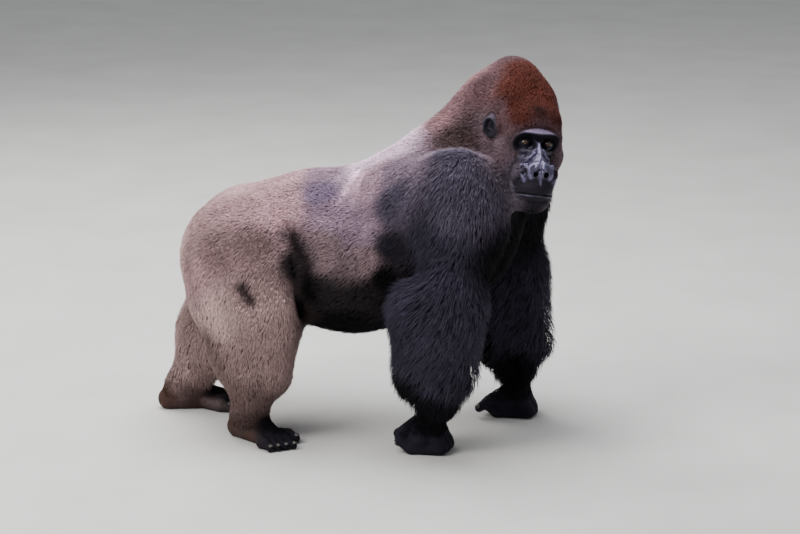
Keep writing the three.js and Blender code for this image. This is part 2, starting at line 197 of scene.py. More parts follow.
def skull_field():
    return blend(
        34,
        egg((-42, 0, 30), (118, 100, 105)),
        egg((-106, 0, 104), (138, 92, 112)),
        *pair(lambda k: egg((-34, k * 54, 52), (98, 56, 104))),
        egg((66, 0, 50), (64, 88, 58)),
        *pair(lambda k: rod((-5, k * 74, -60), (30, k * 66, -120), 50, 42)),
        egg((0, 0, -110), (110, 80, 80)),
    )


def front_field():
    """The front of the head, in the frame of the face."""
    return blend(
        28,
        rod((108, -54, 28), (108, 54, 28), 24, 24),
        *pair(lambda k: rod((86, k * 62, 8), (56, k * 70, -24), 27, 37)),
        *pair(lambda k: egg((42, k * 55, -52), (60, 42, 60))),
        *pair(lambda k: rod((18, k * 56, -128), (108, k * 20, -162), 38, 29)),
        egg((110, 0, -170), (40, 42, 32)),
        egg((70, 0, -42), (62, 50, 62)),
    )


def muzzle_field():
    return blend(
        16,
        rod((106, 0, 8), (144, 0, -74), 25, 34),
        egg((104, 0, -112), (72, 62, 58)),
        *pair(lambda k: egg((160, k * 25, -88), (23, 20, 21))),
        egg((171, 0, -80), (18, 17, 16)),
        egg((142, 0, -134), (38, 48, 24)),
        egg((132, 0, -160), (34, 42, 16)),
    )


# The folds of the bare face: a line in (aside, up), its height (negative for a groove) and its half width.
FOLDS = {
    "mouth": (((0, -153), (30, -152), (56, -149), (66, -150)), -5.5, 1.7),
    "upper lip": (((0, -147), (30, -146), (52, -144)), 1.0, 3.0),
    "lower lip": (((0, -158), (28, -157), (52, -154)), 2.6, 2.6),
    "under lip": (((0, -170), (26, -169), (46, -165)), -2.0, 4.5),
    "mouth corner": (((66, -150), (72, -156)), -2.0, 3.0),
    "nose groove": (((0, -50), (0, -86)), -3.4, 2.8),
    "lip groove": (((0, -112), (0, -138)), -1.6, 3.0),
    "wing fold": (((8, -34), (22, -50), (38, -68), (46, -88), (41, -110)), -6.5, 3.0),
    "cheek ridge": (((12, -20), (30, -46), (48, -70), (55, -92), (46, -116)), 6.5, 4.4),
    "cheek fold": (((16, -12), (38, -40), (60, -68), (64, -98), (58, -128)), -5.0, 3.6),
    "second fold": (((24, -34), (34, -50), (41, -62)), -2.5, 1.8),
    "pouch": (((18, -18), (28, -24), (40, -25), (54, -17)), 4.5, 4.2),
    "under pouch": (((17, -28), (30, -36), (44, -36), (58, -26)), -3.5, 2.8),
    "low pouch": (((26, -43), (38, -46), (50, -42)), 2.6, 3.2),
    "lid crease": (((20, 9), (30, 13), (42, 13), (54, 6)), -2.0, 2.0),
    "brow edge": (((0, 24), (26, 27), (50, 25), (66, 16)), 6.5, 7.5),
    "bridge crease": (((0, 5), (14, -2)), -2.2, 2.4),
    "bridge line": (((0, -6), (0, -48)), 5.5, 5.0),
    "bridge side": (((9, -14), (18, -34), (28, -50)), -2.2, 2.2),
    "forehead crease": (((20, 46), (44, 46)), -1.5, 2.5),
}


def line_distance(x, y, points):
    best = np.full(len(x), 1e6, np.float32)
    for (ax, ay), (bx, by) in zip(points, points[1:]):
        dx, dy = bx - ax, by - ay
        t = np.clip(((x - ax) * dx + (y - ay) * dy) / (dx * dx + dy * dy), 0, 1)
        best = np.minimum(best, np.hypot(x - ax - t * dx, y - ay - t * dy))
    return best


def face_relief(h):
    """How far the folds of the face stand out, at points in the frame of the face."""
    aside = np.abs(h[:, 1])
    out = np.zeros(len(h), np.float32)
    for points, height, width in FOLDS.values():
        out += height * bell(line_distance(aside, h[:, 2], points), 0, width)
    return out * smoothstep(66, 96, h[:, 0])


def nose_masses():
    """Wings that curl round each nostril, and the heart-shaped tip between them."""
    masses = [rod((176, 0, -74), (171, 0, -112), 5, 7)]
    for side in (1, -1):
        masses.append(egg((171, side * 9, -68), (14, 11, 13)))
        ring = []
        for step in range(11):
            angle = math.radians(115 - 29 * step)
            out, up = 21 + 20 * math.cos(angle), -90 + 20 * math.sin(angle)
            ring.append((171 - 2.4 * abs(step - 2), side * out, up))
        for a, b in zip(ring, ring[1:]):
            masses.append(rod(a, b, 7.2, 7.2))
    return masses


def eyelids(field):
    """Lids 3 mm thick over each eye ball, open in an almond."""
    radius = EYE["radius"]

    def lidded(h):
        d = field(h)
        for side in (1, -1):
            q = h - np.array([EYE["forward"], side * EYE["apart"] / 2, EYE["up"]], np.float32)
            away = lengths(q)
            d = smooth_min(d, away - radius - 3.0, 6)
            across = q[:, 1] * side
            rise = 0.08 * across
            half = 4.6 * np.maximum(1 - (across / 13.0) ** 2, 0)
            slit = np.maximum(np.abs(q[:, 2] - rise) - half, radius * 0.35 - q[:, 0])
            slit = np.maximum(slit, away - radius - 14)
            d = -smooth_min(-d, slit, 1.6)
        return d
    return lidded


def nostril(side):
    """A hole like a comma, narrow and near the middle above, wide and outwards below."""
    upper = rod((196, side * 8, -80), (168, side * 9, -82), 4, 4)
    lower = rod((196, side * 16, -94), (160, side * 16, -93), 8, 7)
    return blend(3, upper, lower)


def face_field():
    """The whole head in the frame of the face, with its folds, lids and nostrils."""
    skull = moved(skull_field(), FACE_IN_HEAD.inverted())
    solid = blend(24, skull, front_field(), muzzle_field())
    sockets = pair(lambda k: egg((147, k * EYE["apart"] / 2, -4), (42, 28, 19)))
    nose = blend(6, hollow(10, solid, *sockets), *nose_masses())
    formed = eyelids(hollow(4, nose, *pair(nostril)))

    def field(h):
        return formed(h) - face_relief(h)
    return field


def ear_frame(side):
    """The frame of an ear; the left one lies closer to the head."""
    aside = EAR["aside"] if side < 0 else EAR["aside"] - 7
    return (
        HEAD_FRAME
        @ Matrix.Translation((EAR["forward"], side * aside, EAR["up"]))
        @ Matrix.Rotation(math.radians(-side * EAR["flare"]), 4, "Z")
        @ Matrix.Rotation(math.radians(-EAR["lean"]), 4, "Y")
    )


def ear_field(side):
    """A shell with a rolled rim round a bowl, with a lobe and a small flap before the opening."""
    deep = EAR["depth"]
    shell = egg((0, 0, 0), (EAR["width"] / 2, deep / 2, EAR["height"] / 2))
    lobe = egg((3, 0, -EAR["height"] * 0.4), (10, 7, 12))
    bowl = egg((4, side * deep * 0.6, -1), (EAR["width"] * 0.38, deep * 0.85, EAR["height"] * 0.38))
    flap = egg((13, side * 8, -6), (5, 5, 8))
    inner = rod((-9, side * 3, 12), (-6, side * 5, -10), 3.0, 3.2)
    return moved(blend(4, hollow(3, blend(8, shell, lobe), bowl), flap, inner), ear_frame(side))


# ---- The trunk and limbs, out to the tips of the coat ----


def trunk_field():
    pelvis = blend(60, egg((-325, -8, 562), (196, 192, 182)),
                   *pair(lambda k: egg((-388, -8 + k * 98, 545), (138, 112, 152))))
    belly = blend(80, egg((-140, -4, 590), (235, 225, 212)), egg((-20, -10, 542), (270, 258, 236)))
    chest = blend(80, egg((165, 0, 625), (250, 245, 252)), egg((305, 0, 680), (190, 225, 240)),
                  rod((40, 0, 690), (250, 0, 785), 105, 125))
    neck = blend(60, rod((170, -4, 758), (398, 30, 1020), 96, 104),
                 rod((290, 0, 795), (432, 22, 930), 165, 118),
                 rod((400, -10, 780), (488, -30, 870), 128, 96))
    return blend(70, pelvis, belly, chest, neck)


def arm_field(side, shoulder, elbow, wrist, hand):
    return blend(
        60,
        egg(shifted(shoulder, -5, -side * 8, 5), (158, 112, 188)),
        rod(shifted(shoulder, -200, -side * 95, 30), shifted(shoulder, -20, -side * 25, 55), 110, 115),
        rod(shifted(shoulder, 10, side * 10, -30), elbow, 118, 98),
        egg(shifted(elbow, -62, 0, -25), (128, 88, 112)),
        rod(elbow, wrist, 98, 62),
        rod(shifted(elbow, -80, 0, -70), shifted(wrist, -74, 0, 70), 100, 74),
        rod(shifted(elbow, 26, 0, -20), shifted(wrist, 68, 0, 80), 84, 60),
    )


def finger_places(side, hand):
    """Knuckle, bend, rest and tip of each finger."""
    knuckles = shifted(hand, 22, 0, 80)
    for k in (-1.5, -0.5, 0.5, 1.5):
        reach = 7 * (2 - abs(k + side * 0.3))
        bend = shifted(hand, 48 + reach, k * 29, 20)
        rest = shifted(hand, -38 - reach, k * 29, 15)
        yield shifted(knuckles, 0, k * 29, 0), bend, rest, shifted(rest, -34, 0, 22)


def thumb_ends(side, hand):
    return shifted(hand, -10, -side * 48, 92), shifted(hand, -98, -side * 56, 30)


def hand_field(side, shoulder, elbow, wrist, hand, close=20):
    knuckles = shifted(hand, 22, 0, 80)
    palm = [rod(shifted(wrist, 0, k * 16, -6), shifted(knuckles, -8, k * 27, 4), 36, 32)
            for k in (-1, 0, 1)]
    fingers = [
        blend(8, rod(knuckle, shifted(bend, -4, 0, 6), 23, 20),
              rod(bend, rest, 20, 18), rod(rest, tip, 18, 14))
        for knuckle, bend, rest, tip in finger_places(side, hand)
    ]
    thumb = rod(*thumb_ends(side, hand), 23, 14)
    inside = rod(shifted(hand, -14, -34, 50), shifted(hand, -14, 34, 50), 36, 36)
    return blend(close, *palm, *fingers, inside, thumb)


def leg_field(side, hip, knee, ankle, toes_out):
    return blend(
        50,
        rod(hip, knee, 168, 128),
        egg(shifted(between(hip, knee, 0.55), -58, 0, -10), (146, 110, 190)),
        rod(knee, ankle, 118, 56),
        egg(shifted(between(knee, ankle, 0.38), -38, side * 4, 0), (110, 86, 126)),
        rod(shifted(knee, 14, 0, -60), shifted(ankle, 72, 0, 118), 94, 64),
    )


def on_foot(side, ankle, toes_out):
    angle = math.radians(-toes_out)
    c, s = math.cos(angle), math.sin(angle)
    return lambda forward, out, up: (
        ankle[0] + forward * c - side * out * s, ankle[1] + forward * s + side * out * c, up)


def toe_places():
    """Middle and tip of each toe, as (forward, out, up) on the foot, the great toe last."""
    for i, out in enumerate((-14, 8, 29, 49)):
        yield (108, out, 22), (148 - 7 * i, out, 24), (178 - 9 * i, out * 1.12, 13), 15, 11
    yield (70, -26, 24), (112, -56, 22), (138, -62, 15), 20, 14


def foot_field(side, hip, knee, ankle, toes_out, close=12):
    at = on_foot(side, ankle, toes_out)
    heel = rod(at(-48, 0, 30), at(-10, 0, 62), 36, 46)
    arch = rod(at(-40, 0, 26), at(110, 6, 26), 34, 34)
    instep = rod(at(0, 0, 66), at(95, 4, 34), 42, 30)
    ball = rod(at(112, -24, 24), at(104, 38, 20), 26, 24)
    toes = [blend(6, rod(at(*root), at(*middle), thick, thick - 1),
                  rod(at(*middle), at(*tip), thick - 1, thin))
            for root, middle, tip, thick, thin in toe_places()]
    return blend(close, heel, arch, instep, ball, *toes)


def animal(head, finger_close=20, toe_close=12):
    arms = [blend(14, arm_field(**arm), hand_field(**arm, close=finger_close))
            for arm in ARMS.values()]
    legs = [blend(26, leg_field(**leg), foot_field(**leg, close=toe_close))
            for leg in LEGS.values()]
    return blend(40, blend(26, trunk_field(), head), *arms, *legs)


# ---- Colours, linear ----

RUMP = (0.49, 0.315, 0.325)
# Pale hair on the top of the rump, made lighter as a painted highlight where the light falls from above.
CROUP_PALE_AND_HIGHLIGHT = (0.57, 0.365, 0.395)
# Pale hair along the rear of the thighs, with a painted highlight on that edge.
REAR_THIGH_PALE_AND_HIGHLIGHT = (0.62, 0.44, 0.425)
THIGH = (0.27, 0.178, 0.178)
ANKLE = (0.052, 0.032, 0.029)
KNEE = (0.40, 0.275, 0.265)
SHANK = (0.200, 0.135, 0.125)
SADDLE = (0.295, 0.205, 0.270)
# Silver hair of the saddle, made brighter along the back's top as a painted sheen.
SPINE_SILVER_AND_SHEEN = (0.84, 0.64, 0.79)
WITHERS = (0.47, 0.32, 0.39)
# Grey patch of thinner hair on the loin, its lilac tint a painted sky reflection.
LOIN_GREY_AND_SKY_SHEEN = (0.225, 0.165, 0.250)
FLANK = (0.250, 0.175, 0.190)
LOW_FLANK = (0.020, 0.017, 0.017)
# Black belly hair, made darker still as painted shade underneath the body.
BELLY_BLACK_AND_SHADE = (0.0030, 0.0028, 0.0028)
NAPE = (0.100, 0.064, 0.066)
# Paler hair along the top of the nape and the back of the crown, with a painted highlight on that rim.
NAPE_GREY_AND_HIGHLIGHT = (0.35, 0.200, 0.215)
# Black hair of the shoulders, its violet tint a painted sheen.
SHOULDER_BLACK_AND_VIOLET_SHEEN = (0.105, 0.088, 0.128)
BLADE = (0.270, 0.200, 0.260)
# Black hair of the arms, its blue tint a painted sheen.
BLACK_AND_BLUE_SHEEN = (0.048, 0.043, 0.066)
# Near-black hair and skin, made darker still as painted shade under the chest, the arms and the chin.
DEEP_BLACK_AND_SHADE = (0.0016, 0.0016, 0.0019)
CHEST = (0.0200, 0.0175, 0.0250)
CHESTNUT = (0.072, 0.0180, 0.0110)
FOREHEAD = (0.050, 0.0110, 0.0056)
RUSSET = (0.018, 0.0045, 0.0022)
BROW = (0.200, 0.135, 0.170)
MUZZLE_SIDE = (0.135, 0.108, 0.140)
TEMPLE = (0.088, 0.046, 0.050)
CHEEK = (0.165, 0.112, 0.130)
JAW = (0.190, 0.150, 0.205)
INNER_LEG = (0.16, 0.11, 0.11)
SKIN_BLACK = (0.0060, 0.0055, 0.0085)
SKIN_HEEL = (0.048, 0.024, 0.014)
# Painted highlight on the rim and the inner fold of the black ears.
EAR_RIM_HIGHLIGHT = (0.062, 0.048, 0.062)

# ---- The coat, place by place ----
# Each place: the piece it belongs to, where it is, how far it reaches, how deep the coat is there, the length
# and width of its tufts, the way they lie, and their colour, in some places a painted highlight or painted
# shade.


def coat_places():
    both = (1, -1)
    rows = []

    def add(piece, place, reach, depth, length, width, lie, colour):
        rows.append((piece, place, reach, depth, length, width, lie, colour))

    # Trunk
    # Along the spine: silver hair with a painted sheen.
    add("back", (150, -4, 885), 80, 9, 19, 2.8, (-1, 0, -0.1), SPINE_SILVER_AND_SHEEN)
    add("back", (30, -4, 840), 90, 8, 18, 2.6, (-1, 0, -0.1), SPINE_SILVER_AND_SHEEN)
    add("back", (-90, -4, 815), 80, 8, 17, 2.5, (-1, 0, -0.1), SADDLE)
    # Top of the rump: pale hair with a painted highlight.
    add("back", (-220, -4, 800), 80, 8, 17, 2.5, (-1, 0, -0.1), CROUP_PALE_AND_HIGHLIGHT)
    add("rump", (-340, -8, 750), 90, 8, 17, 2.5, (-1, 0, -0.2), CROUP_PALE_AND_HIGHLIGHT)
    for k in both:
        add("back", (70, k * 150, 790), 80, 9, 20, 2.8, (-0.9, 0, -0.5), WITHERS)
        add("back", (50, k * 200, 680), 80, 10, 22, 2.9, (-0.9, 0, -0.5), SADDLE)
        add("back", (-40, k * 180, 700), 70, 9, 19, 2.7, (-0.9, 0, -0.5), SADDLE)
        # Loin: thinner grey hair with a painted lilac sky reflection.
        add("back", (-85, k * 145, 765), 58, 8, 17, 2.5, (-0.9, 0, -0.5), LOIN_GREY_AND_SKY_SHEEN)
        add("back", (-200, k * 150, 700), 80, 9, 19, 2.7, (-0.9, 0, -0.5), CROUP_PALE_AND_HIGHLIGHT)
        add("rump", (-370, k * 140, 680), 90, 9, 20, 2.7, (-0.8, 0, -0.6), RUMP)
        # Rear of the thigh: pale hair with a painted highlight.
        add("rump", (-500, k * 90, 560), 80, 10, 22, 2.8, (-0.5, 0, -1), REAR_THIGH_PALE_AND_HIGHLIGHT)
        add("rump", (-190, k * 200, 655), 34, 9, 21, 2.8, (-0.8, 0, -0.6), FLANK)
        add("belly", (-150, k * 218, 560), 44, 10, 22, 2.9, (-0.8, 0, -0.6), LOW_FLANK)
        add("belly", (70, k * 240, 590), 70, 12, 24, 3.0, (-0.8, 0, -0.6), FLANK)
        add("belly", (-60, k * 230, 610), 75, 11, 23, 3.0, (-0.8, 0, -0.6), FLANK)
        add("belly", (-60, k * 235, 490), 75, 15, 30, 3.3, (-0.8, 0, -0.5), LOW_FLANK)
        add("belly", (60, k * 245, 480), 70, 16, 32, 3.4, (-0.8, 0, -0.5), LOW_FLANK)
        # Under the body: black hair darkened as painted shade.
        add("belly", (-150, k * 190, 430), 45, 14, 30, 3.4, (-0.8, 0, -0.5), BELLY_BLACK_AND_SHADE)
        add("belly", (0, k * 190, 385), 80, 20, 42, 3.9, (-0.8, 0, -0.5), BELLY_BLACK_AND_SHADE)
        add("chest", (140, k * 185, 840), 50, 10, 22, 2.9, (-0.8, 0, -0.5), BLADE)
        add("chest", (140, k * 215, 755), 62, 13, 27, 3.0, (-0.7, 0, -0.8), SHOULDER_BLACK_AND_VIOLET_SHEEN)
        add("chest", (138, k * 240, 640), 66, 15, 31, 3.2, (-0.7, 0, -0.8), CHEST)
        # Under the chest: black hair darkened as painted shade.
        add("chest", (118, k * 245, 550), 66, 16, 35, 3.4, (-0.7, 0, -0.8), DEEP_BLACK_AND_SHADE)
        add("chest", (190, k * 190, 470), 90, 20, 42, 3.9, (-0.5, 0, -0.8), DEEP_BLACK_AND_SHADE)
    # Under the belly: black hair darkened as painted shade.
    add("belly", (-60, -4, 320), 110, 20, 44, 4.0, (-0.9, 0, -0.3), BELLY_BLACK_AND_SHADE)
    add("chest", (170, -4, 390), 110, 22, 46, 4.0, (-0.8, 0, -0.5), DEEP_BLACK_AND_SHADE)
    add("chest", (440, 0, 620), 120, 22, 46, 4.0, (-0.1, 0, -1), DEEP_BLACK_AND_SHADE)
    add("chest", (480, 0, 740), 90, 20, 38, 3.8, (-0.1, 0, -1), DEEP_BLACK_AND_SHADE)
    # Neck
    # Top of the nape: paler hair with a painted highlight.
    add("nape", (270, -4, 960), 64, 11, 24, 3.0, (-0.8, 0, -0.6), NAPE_GREY_AND_HIGHLIGHT)
    add("nape", (360, 20, 1080), 58, 10, 21, 2.9, (-0.7, 0, -0.7), NAPE_GREY_AND_HIGHLIGHT)
    add("nape", (330, -110, 930), 76, 12, 24, 3.0, (-0.6, 0, -0.8), NAPE)
    add("nape", (330, 120, 940), 76, 12, 24, 3.0, (-0.6, 0, -0.8), NAPE)
    add("nape", (430, -140, 850), 40, 14, 28, 3.0, (-0.3, 0, -1), JAW)
    # Arms
    for name, arm in ARMS.items():
        k = arm["side"]
        shoulder, elbow, wrist, hand = arm["shoulder"], arm["elbow"], arm["wrist"], arm["hand"]
        upper = "arm_" + name
        fore = "forearm_" + name
        palm = "hand_" + name
        add(upper, shifted(shoulder, -130, -k * 20, 170), 60, 11, 24, 3.0, (-0.6, 0, -0.8), BLADE)
        add(upper, shifted(shoulder, -10, -k * 10, 190), 60, 14, 30, 3.2, (-0.4, 0, -1), SHOULDER_BLACK_AND_VIOLET_SHEEN)
        add(upper, shifted(shoulder, -180, k * 30, 60), 60, 16, 30, 3.2, (-0.7, 0, -0.8), SHOULDER_BLACK_AND_VIOLET_SHEEN)
        add(upper, shifted(shoulder, 20, k * 80, 60), 100, 20, 46, 2.9, (-0.3, 0, -1), SHOULDER_BLACK_AND_VIOLET_SHEEN)
        # Arm hair: black with a painted blue sheen.
        add(upper, shifted(shoulder, -50, k * 80, -60), 90, 26, 52, 3.0, (-0.45, 0, -1), BLACK_AND_BLUE_SHEEN)
        add(upper, shifted(shoulder, 90, k * 20, -90), 90, 26, 52, 3.0, (-0.2, 0, -1), DEEP_BLACK_AND_SHADE)
        add(upper, shifted(elbow, 20, k * 40, 60), 80, 30, 60, 3.2, (-0.4, 0, -1), BLACK_AND_BLUE_SHEEN)
        add(upper, shifted(elbow, -100, k * 10, 20), 80, 34, 68, 3.3, (-0.7, 0, -0.9), BLACK_AND_BLUE_SHEEN)
        add(fore, shifted(elbow, 30, k * 30, -60), 90, 32, 64, 3.3, (-0.55, 0, -0.9), BLACK_AND_BLUE_SHEEN)
        add(fore, shifted(elbow, -110, 0, -110), 90, 38, 78, 3.5, (-0.55, 0, -0.9), BLACK_AND_BLUE_SHEEN)
        add(fore, between(elbow, wrist, 0.55), 90, 36, 72, 3.5, (-0.5, 0, -0.9), BLACK_AND_BLUE_SHEEN)
        add(fore, shifted(between(elbow, wrist, 0.75), -90, 0, 0), 70, 36, 72, 3.5, (-0.4, 0, -1), DEEP_BLACK_AND_SHADE)
        add(fore, shifted(wrist, 0, 0, 50), 60, 24, 54, 3.2, (-0.3, 0, -1), DEEP_BLACK_AND_SHADE)
        add(fore, shifted(wrist, 0, 0, -20), 40, 8, 28, 3.6, (-0.1, 0, -1), DEEP_BLACK_AND_SHADE)
        add(palm, shifted(hand, 10, 0, 90), 40, 2, 14, 2.6, (0.5, 0, -1), DEEP_BLACK_AND_SHADE)
        add(palm, shifted(hand, 20, 0, 20), 50, 0, 5, 2.0, (0.2, 0, -1), SKIN_BLACK)
        add(palm, shifted(hand, -70, 0, 30), 50, 0, 5, 2.0, (0.2, 0, -1), SKIN_BLACK)
    # Legs
    for name, leg in LEGS.items():
        k = leg["side"]
        hip, knee, ankle = leg["hip"], leg["knee"], leg["ankle"]
        at = on_foot(k, ankle, leg["toes_out"])
        thigh = "thigh_" + name
        shank = "shank_" + name
        foot = "foot_" + name
        calf = SHANK if k < 0 else KNEE
        add(thigh, shifted(hip, 80, k * 105, 50), 60, 8, 24, 2.9, (-0.6, 0, -0.8), THIGH)
        add(thigh, shifted(hip, -20, k * 110, 30), 60, 7, 25, 2.9, (-0.6, 0, -0.8), THIGH)
        add(thigh, shifted(hip, -80, k * 110, -50), 70, 7, 27, 2.9, (-0.4, 0, -1), RUMP)
        add(thigh, shifted(hip, 120, k * 90, -60), 50, 8, 28, 3.0, (-0.4, 0, -1), THIGH)
        add(thigh, shifted(knee, 40, k * 90, 40), 80, 9, 30, 3.1, (-0.3, 0, -1), KNEE)
        add(thigh, shifted(knee, -110, k * 60, 40), 70, 9, 28, 3.1, (-0.3, 0, -1), REAR_THIGH_PALE_AND_HIGHLIGHT)
        add(thigh, shifted(knee, 0, -k * 100, 30), 90, 15, 34, 3.3, (-0.2, 0, -1), INNER_LEG)
        add(shank, between(knee, ankle, 0.3), 80, 13, 30, 3.2, (-0.2, 0, -1), KNEE)
        add(shank, shifted(between(knee, ankle, 0.35), -110, 0, 0), 70, 13, 30, 3.2, (-0.1, 0, -1), calf)
        add(shank, between(knee, ankle, 0.75), 70, 12, 30, 3.1, (0.1, 0, -1), calf)
        add(foot, at(20, 0, 90), 40, 4, 15, 2.6, (0.7, 0, -0.7), ANKLE)
        add(foot, at(-60, 0, 30), 40, 0, 5, 2.0, (0, 0, -1), SKIN_HEEL)
        add(foot, at(40, 0, 10), 40, 0, 5, 2.0, (1, 0, -0.2), SKIN_HEEL)
        add(foot, at(90, 0, 60), 40, 0, 8, 2.2, (1, 0, -0.2), DEEP_BLACK_AND_SHADE)
        add(foot, at(150, 0, 20), 50, 0, 5, 2.0, (1, 0, -0.2), DEEP_BLACK_AND_SHADE)

    def head(piece, place, reach, depth, length, width, lie, colour, on=on_head):
        add(piece, on(place), reach, depth, length, width, head_way(lie), colour)

    def face(*row):
        head(*row, on=on_face)

    # Head
    head("crown", (-110, 0, 220), 60, 7, 16, 2.2, (-1, 0, 0.1), TEMPLE)
    head("crown", (-30, 0, 190), 60, 6, 14, 2.1, (-0.9, 0, 0.4), CHESTNUT)
    head("crown", (30, 0, 155), 60, 6, 13, 2.0, (-0.8, 0, 0.6), CHESTNUT)
    head("crown", (72, 0, 108), 36, 5, 10, 1.9, (-0.6, 0, 0.8), FOREHEAD)
    head("crown", (98, 0, 88), 22, 4, 8, 1.7, (-0.3, 0, 0.9), RUSSET)
    # Back of the crown: paler hair with a painted highlight.
    head("crown", (-190, 0, 130), 70, 10, 21, 2.8, (-0.6, 0, -0.9), NAPE_GREY_AND_HIGHLIGHT)
    for k in both:
        head("crown", (10, k * 50, 140), 50, 6, 13, 2.0, (-0.8, 0, 0.5), CHESTNUT)
        head("crown", (-80, k * 84, 120), 60, 7, 15, 2.2, (-0.9, 0, -0.1), TEMPLE)
        head("crown", (60, k * 50, 100), 40, 5, 11, 1.9, (-0.7, 0, 0.5), FOREHEAD)
        head("crown", (88, k * 50, 66), 30, 4, 9, 1.8, (-0.6, 0, 0.6), FOREHEAD)
        head("crown", (30, k * 88, 80), 30, 6, 12, 2.0, (-0.8, 0, 0.2), TEMPLE)
        head("cheek", (-20, k * 100, 10), 50, 7, 14, 2.1, (-0.8, 0, -0.5), CHEEK)
        head("cheek", (50, k * 88, 30), 40, 6, 12, 2.0, (-0.8, 0, 0), TEMPLE)
        head("cheek", (20, k * 90, -130), 50, 9, 18, 2.4, (-0.5, 0, -0.9), JAW)
        face("cheek", (62, k * 84, -8), 40, 5, 11, 1.9, (-0.8, 0, -0.6), CHEEK)
        face("cheek", (50, k * 92, -60), 45, 6, 12, 2.0, (-0.7, 0, -0.8), CHEEK)
        face("cheek", (90, k * 62, -96), 36, 4, 8, 1.8, (-0.6, 0, -0.8), MUZZLE_SIDE)
        face("cheek", (92, k * 62, -142), 30, 4, 8, 1.8, (-0.6, 0, -0.8), MUZZLE_SIDE)
        face("cheek", (100, k * 40, -180), 34, 4, 10, 2.0, (-0.3, 0, -0.9), MUZZLE_SIDE)
    face("crown", (108, 0, 50), 16, 3, 8, 1.8, (-0.4, 0, 0.8), BROW)
    for k in both:
        face("crown", (104, k * 36, 50), 16, 3, 8, 1.8, (-0.5, 0, 0.7), BROW)
    face("cheek", (108, 0, -204), 40, 6, 14, 2.3, (-0.5, 0, -0.8), DEEP_BLACK_AND_SHADE)
    face("face", (155, 0, -120), 46, 0, 4, 1.8, (-0.2, 0, -1), SKIN_BLACK)
    face("face", (150, 0, -66), 30, 0, 4, 1.8, (-0.2, 0, -1), SKIN_BLACK)
    face("face", (130, 0, 6), 26, 0, 4, 1.8, (-0.2, 0, 1), SKIN_BLACK)
    for k in both:
        face("face", (128, k * 36, -2), 24, 0, 4, 1.8, (-0.2, 0, 1), SKIN_BLACK)
    return rows


COAT_BATCH = 60000  # points worked out at once
GRID_BATCH = 200000


class Coat:
    """Blends the values of the nearest places."""

    def __init__(self, rows):
        self.pieces = [row[0] for row in rows]
        self.places = np.array([row[1] for row in rows], np.float32)
        self.reach = np.array([row[2] for row in rows], np.float32)
        self.sizes = np.array([row[3:6] for row in rows], np.float32)
        self.lies = np.array([row[6] for row in rows], np.float32)
        self.colours = np.array([row[7] for row in rows], np.float32)
        self.names = sorted(set(self.pieces))
        self.member = np.array([[piece == name for name in self.names] for piece in self.pieces], np.float32)

    def weights(self, p):
        square = ((p ** 2).sum(1)[:, None] + (self.places ** 2).sum(1)[None] - 2 * p @ self.places.T)
        square = np.maximum(square, 1) / self.reach ** 2
        w = square ** -2.5
        return w / w.sum(1, keepdims=True)

    def at(self, p):
        """Depth, length, width, lie, colour and piece of the coat at each point."""
        parts = []
        for part in np.array_split(p.astype(np.float32), max(1, len(p) // COAT_BATCH)):
            w = self.weights(part)
            parts.append((*(w @ self.sizes).T, w @ self.lies, w @ self.colours, (w @ self.member).argmax(1)))
        return tuple(np.concatenate(values) for values in zip(*parts))


COAT = Coat(coat_places())

# The bare face, as ovals about its middle line (up, half width, half height) in the frame of the face.
BARE_OVALS = ((0, 72, 40), (-50, 48, 62), (-124, 64, 46))


def near_end(p, limbs, end, reach):
    """Whether each point stands within reach of the end of a limb, seen from above."""
    found = np.zeros(len(p), bool)
    for limb in limbs.values():
        x, y, _ = limb[end]
        found |= np.hypot(p[:, 0] - x, p[:, 1] - y) < reach
    return found


def bareness(p):
    """1 on bare skin, 0 under the coat."""
    h = head_points(p)
    f = face_points(p)
    inside = np.full(len(p), 1e6, np.float32)
    for up, wide, high in BARE_OVALS:
        inside = np.minimum(inside, np.hypot(f[:, 1] / wide, (f[:, 2] - up) / high))
    bare = smoothstep(1.12, 0.92, inside) * smoothstep(60, 84, f[:, 0])
    ear = np.hypot(h[:, 0] - EAR["forward"], (h[:, 2] - EAR["up"]) * 0.78) / 27
    bare = np.maximum(bare, smoothstep(1.25, 1.0, ear) * (np.abs(h[:, 1]) > EAR["aside"] - 26))
    bare = np.maximum(bare, near_end(p, ARMS, "hand", 170) * smoothstep(96, 52, p[:, 2]))
    return np.maximum(bare, near_end(p, LEGS, "ankle", 260) * smoothstep(66, 34, p[:, 2]))


# The folds of the body: a line, its height (negative for a hollow) and its half width, on both sides.
BODY_FOLDS = {
    "groin": (((-195, 195, 670), (-165, 215, 600), (-152, 222, 505), (-152, 205, 400)), -20, 17),
    "thigh front": (((-215, 235, 560), (-200, 240, 460), (-205, 225, 390)), 10, 30),
    "loin hollow": (((-215, 165, 690), (-195, 200, 610)), -10, 40),
    "spine": (((-330, -4, 760), (-100, -4, 815), (60, -4, 850), (200, -4, 920)), -5, 16),
    "hip bone": (((-300, 120, 735), (-250, 170, 690)), 7, 34),
    "buttock": (((-470, 60, 640), (-520, 85, 540), (-500, 90, 450)), 9, 40),
    "thigh dimple": (((-335, 225, 495), (-315, 228, 465)), -9, 16),
    "shoulder blade": (((170, 175, 850), (210, 240, 760), (215, 265, 660)), 8, 30),
    "behind shoulder": (((120, 190, 800), (140, 235, 700), (150, 245, 620)), -8, 30),
    "knee": (((-240, 250, 410), (-250, 240, 350)), 6, 34),
}


def solid_line_distance(p, points):
    best = np.full(len(p), 1e6, np.float32)
    for a, b in zip(points, points[1:]):
        a, b = np.array(a, np.float32), np.array(b, np.float32)
        q = p - a
        t = np.clip(q @ (b - a) / ((b - a) @ (b - a)), 0, 1)
        best = np.minimum(best, np.linalg.norm(q - t[:, None] * (b - a), axis=1))
    return best


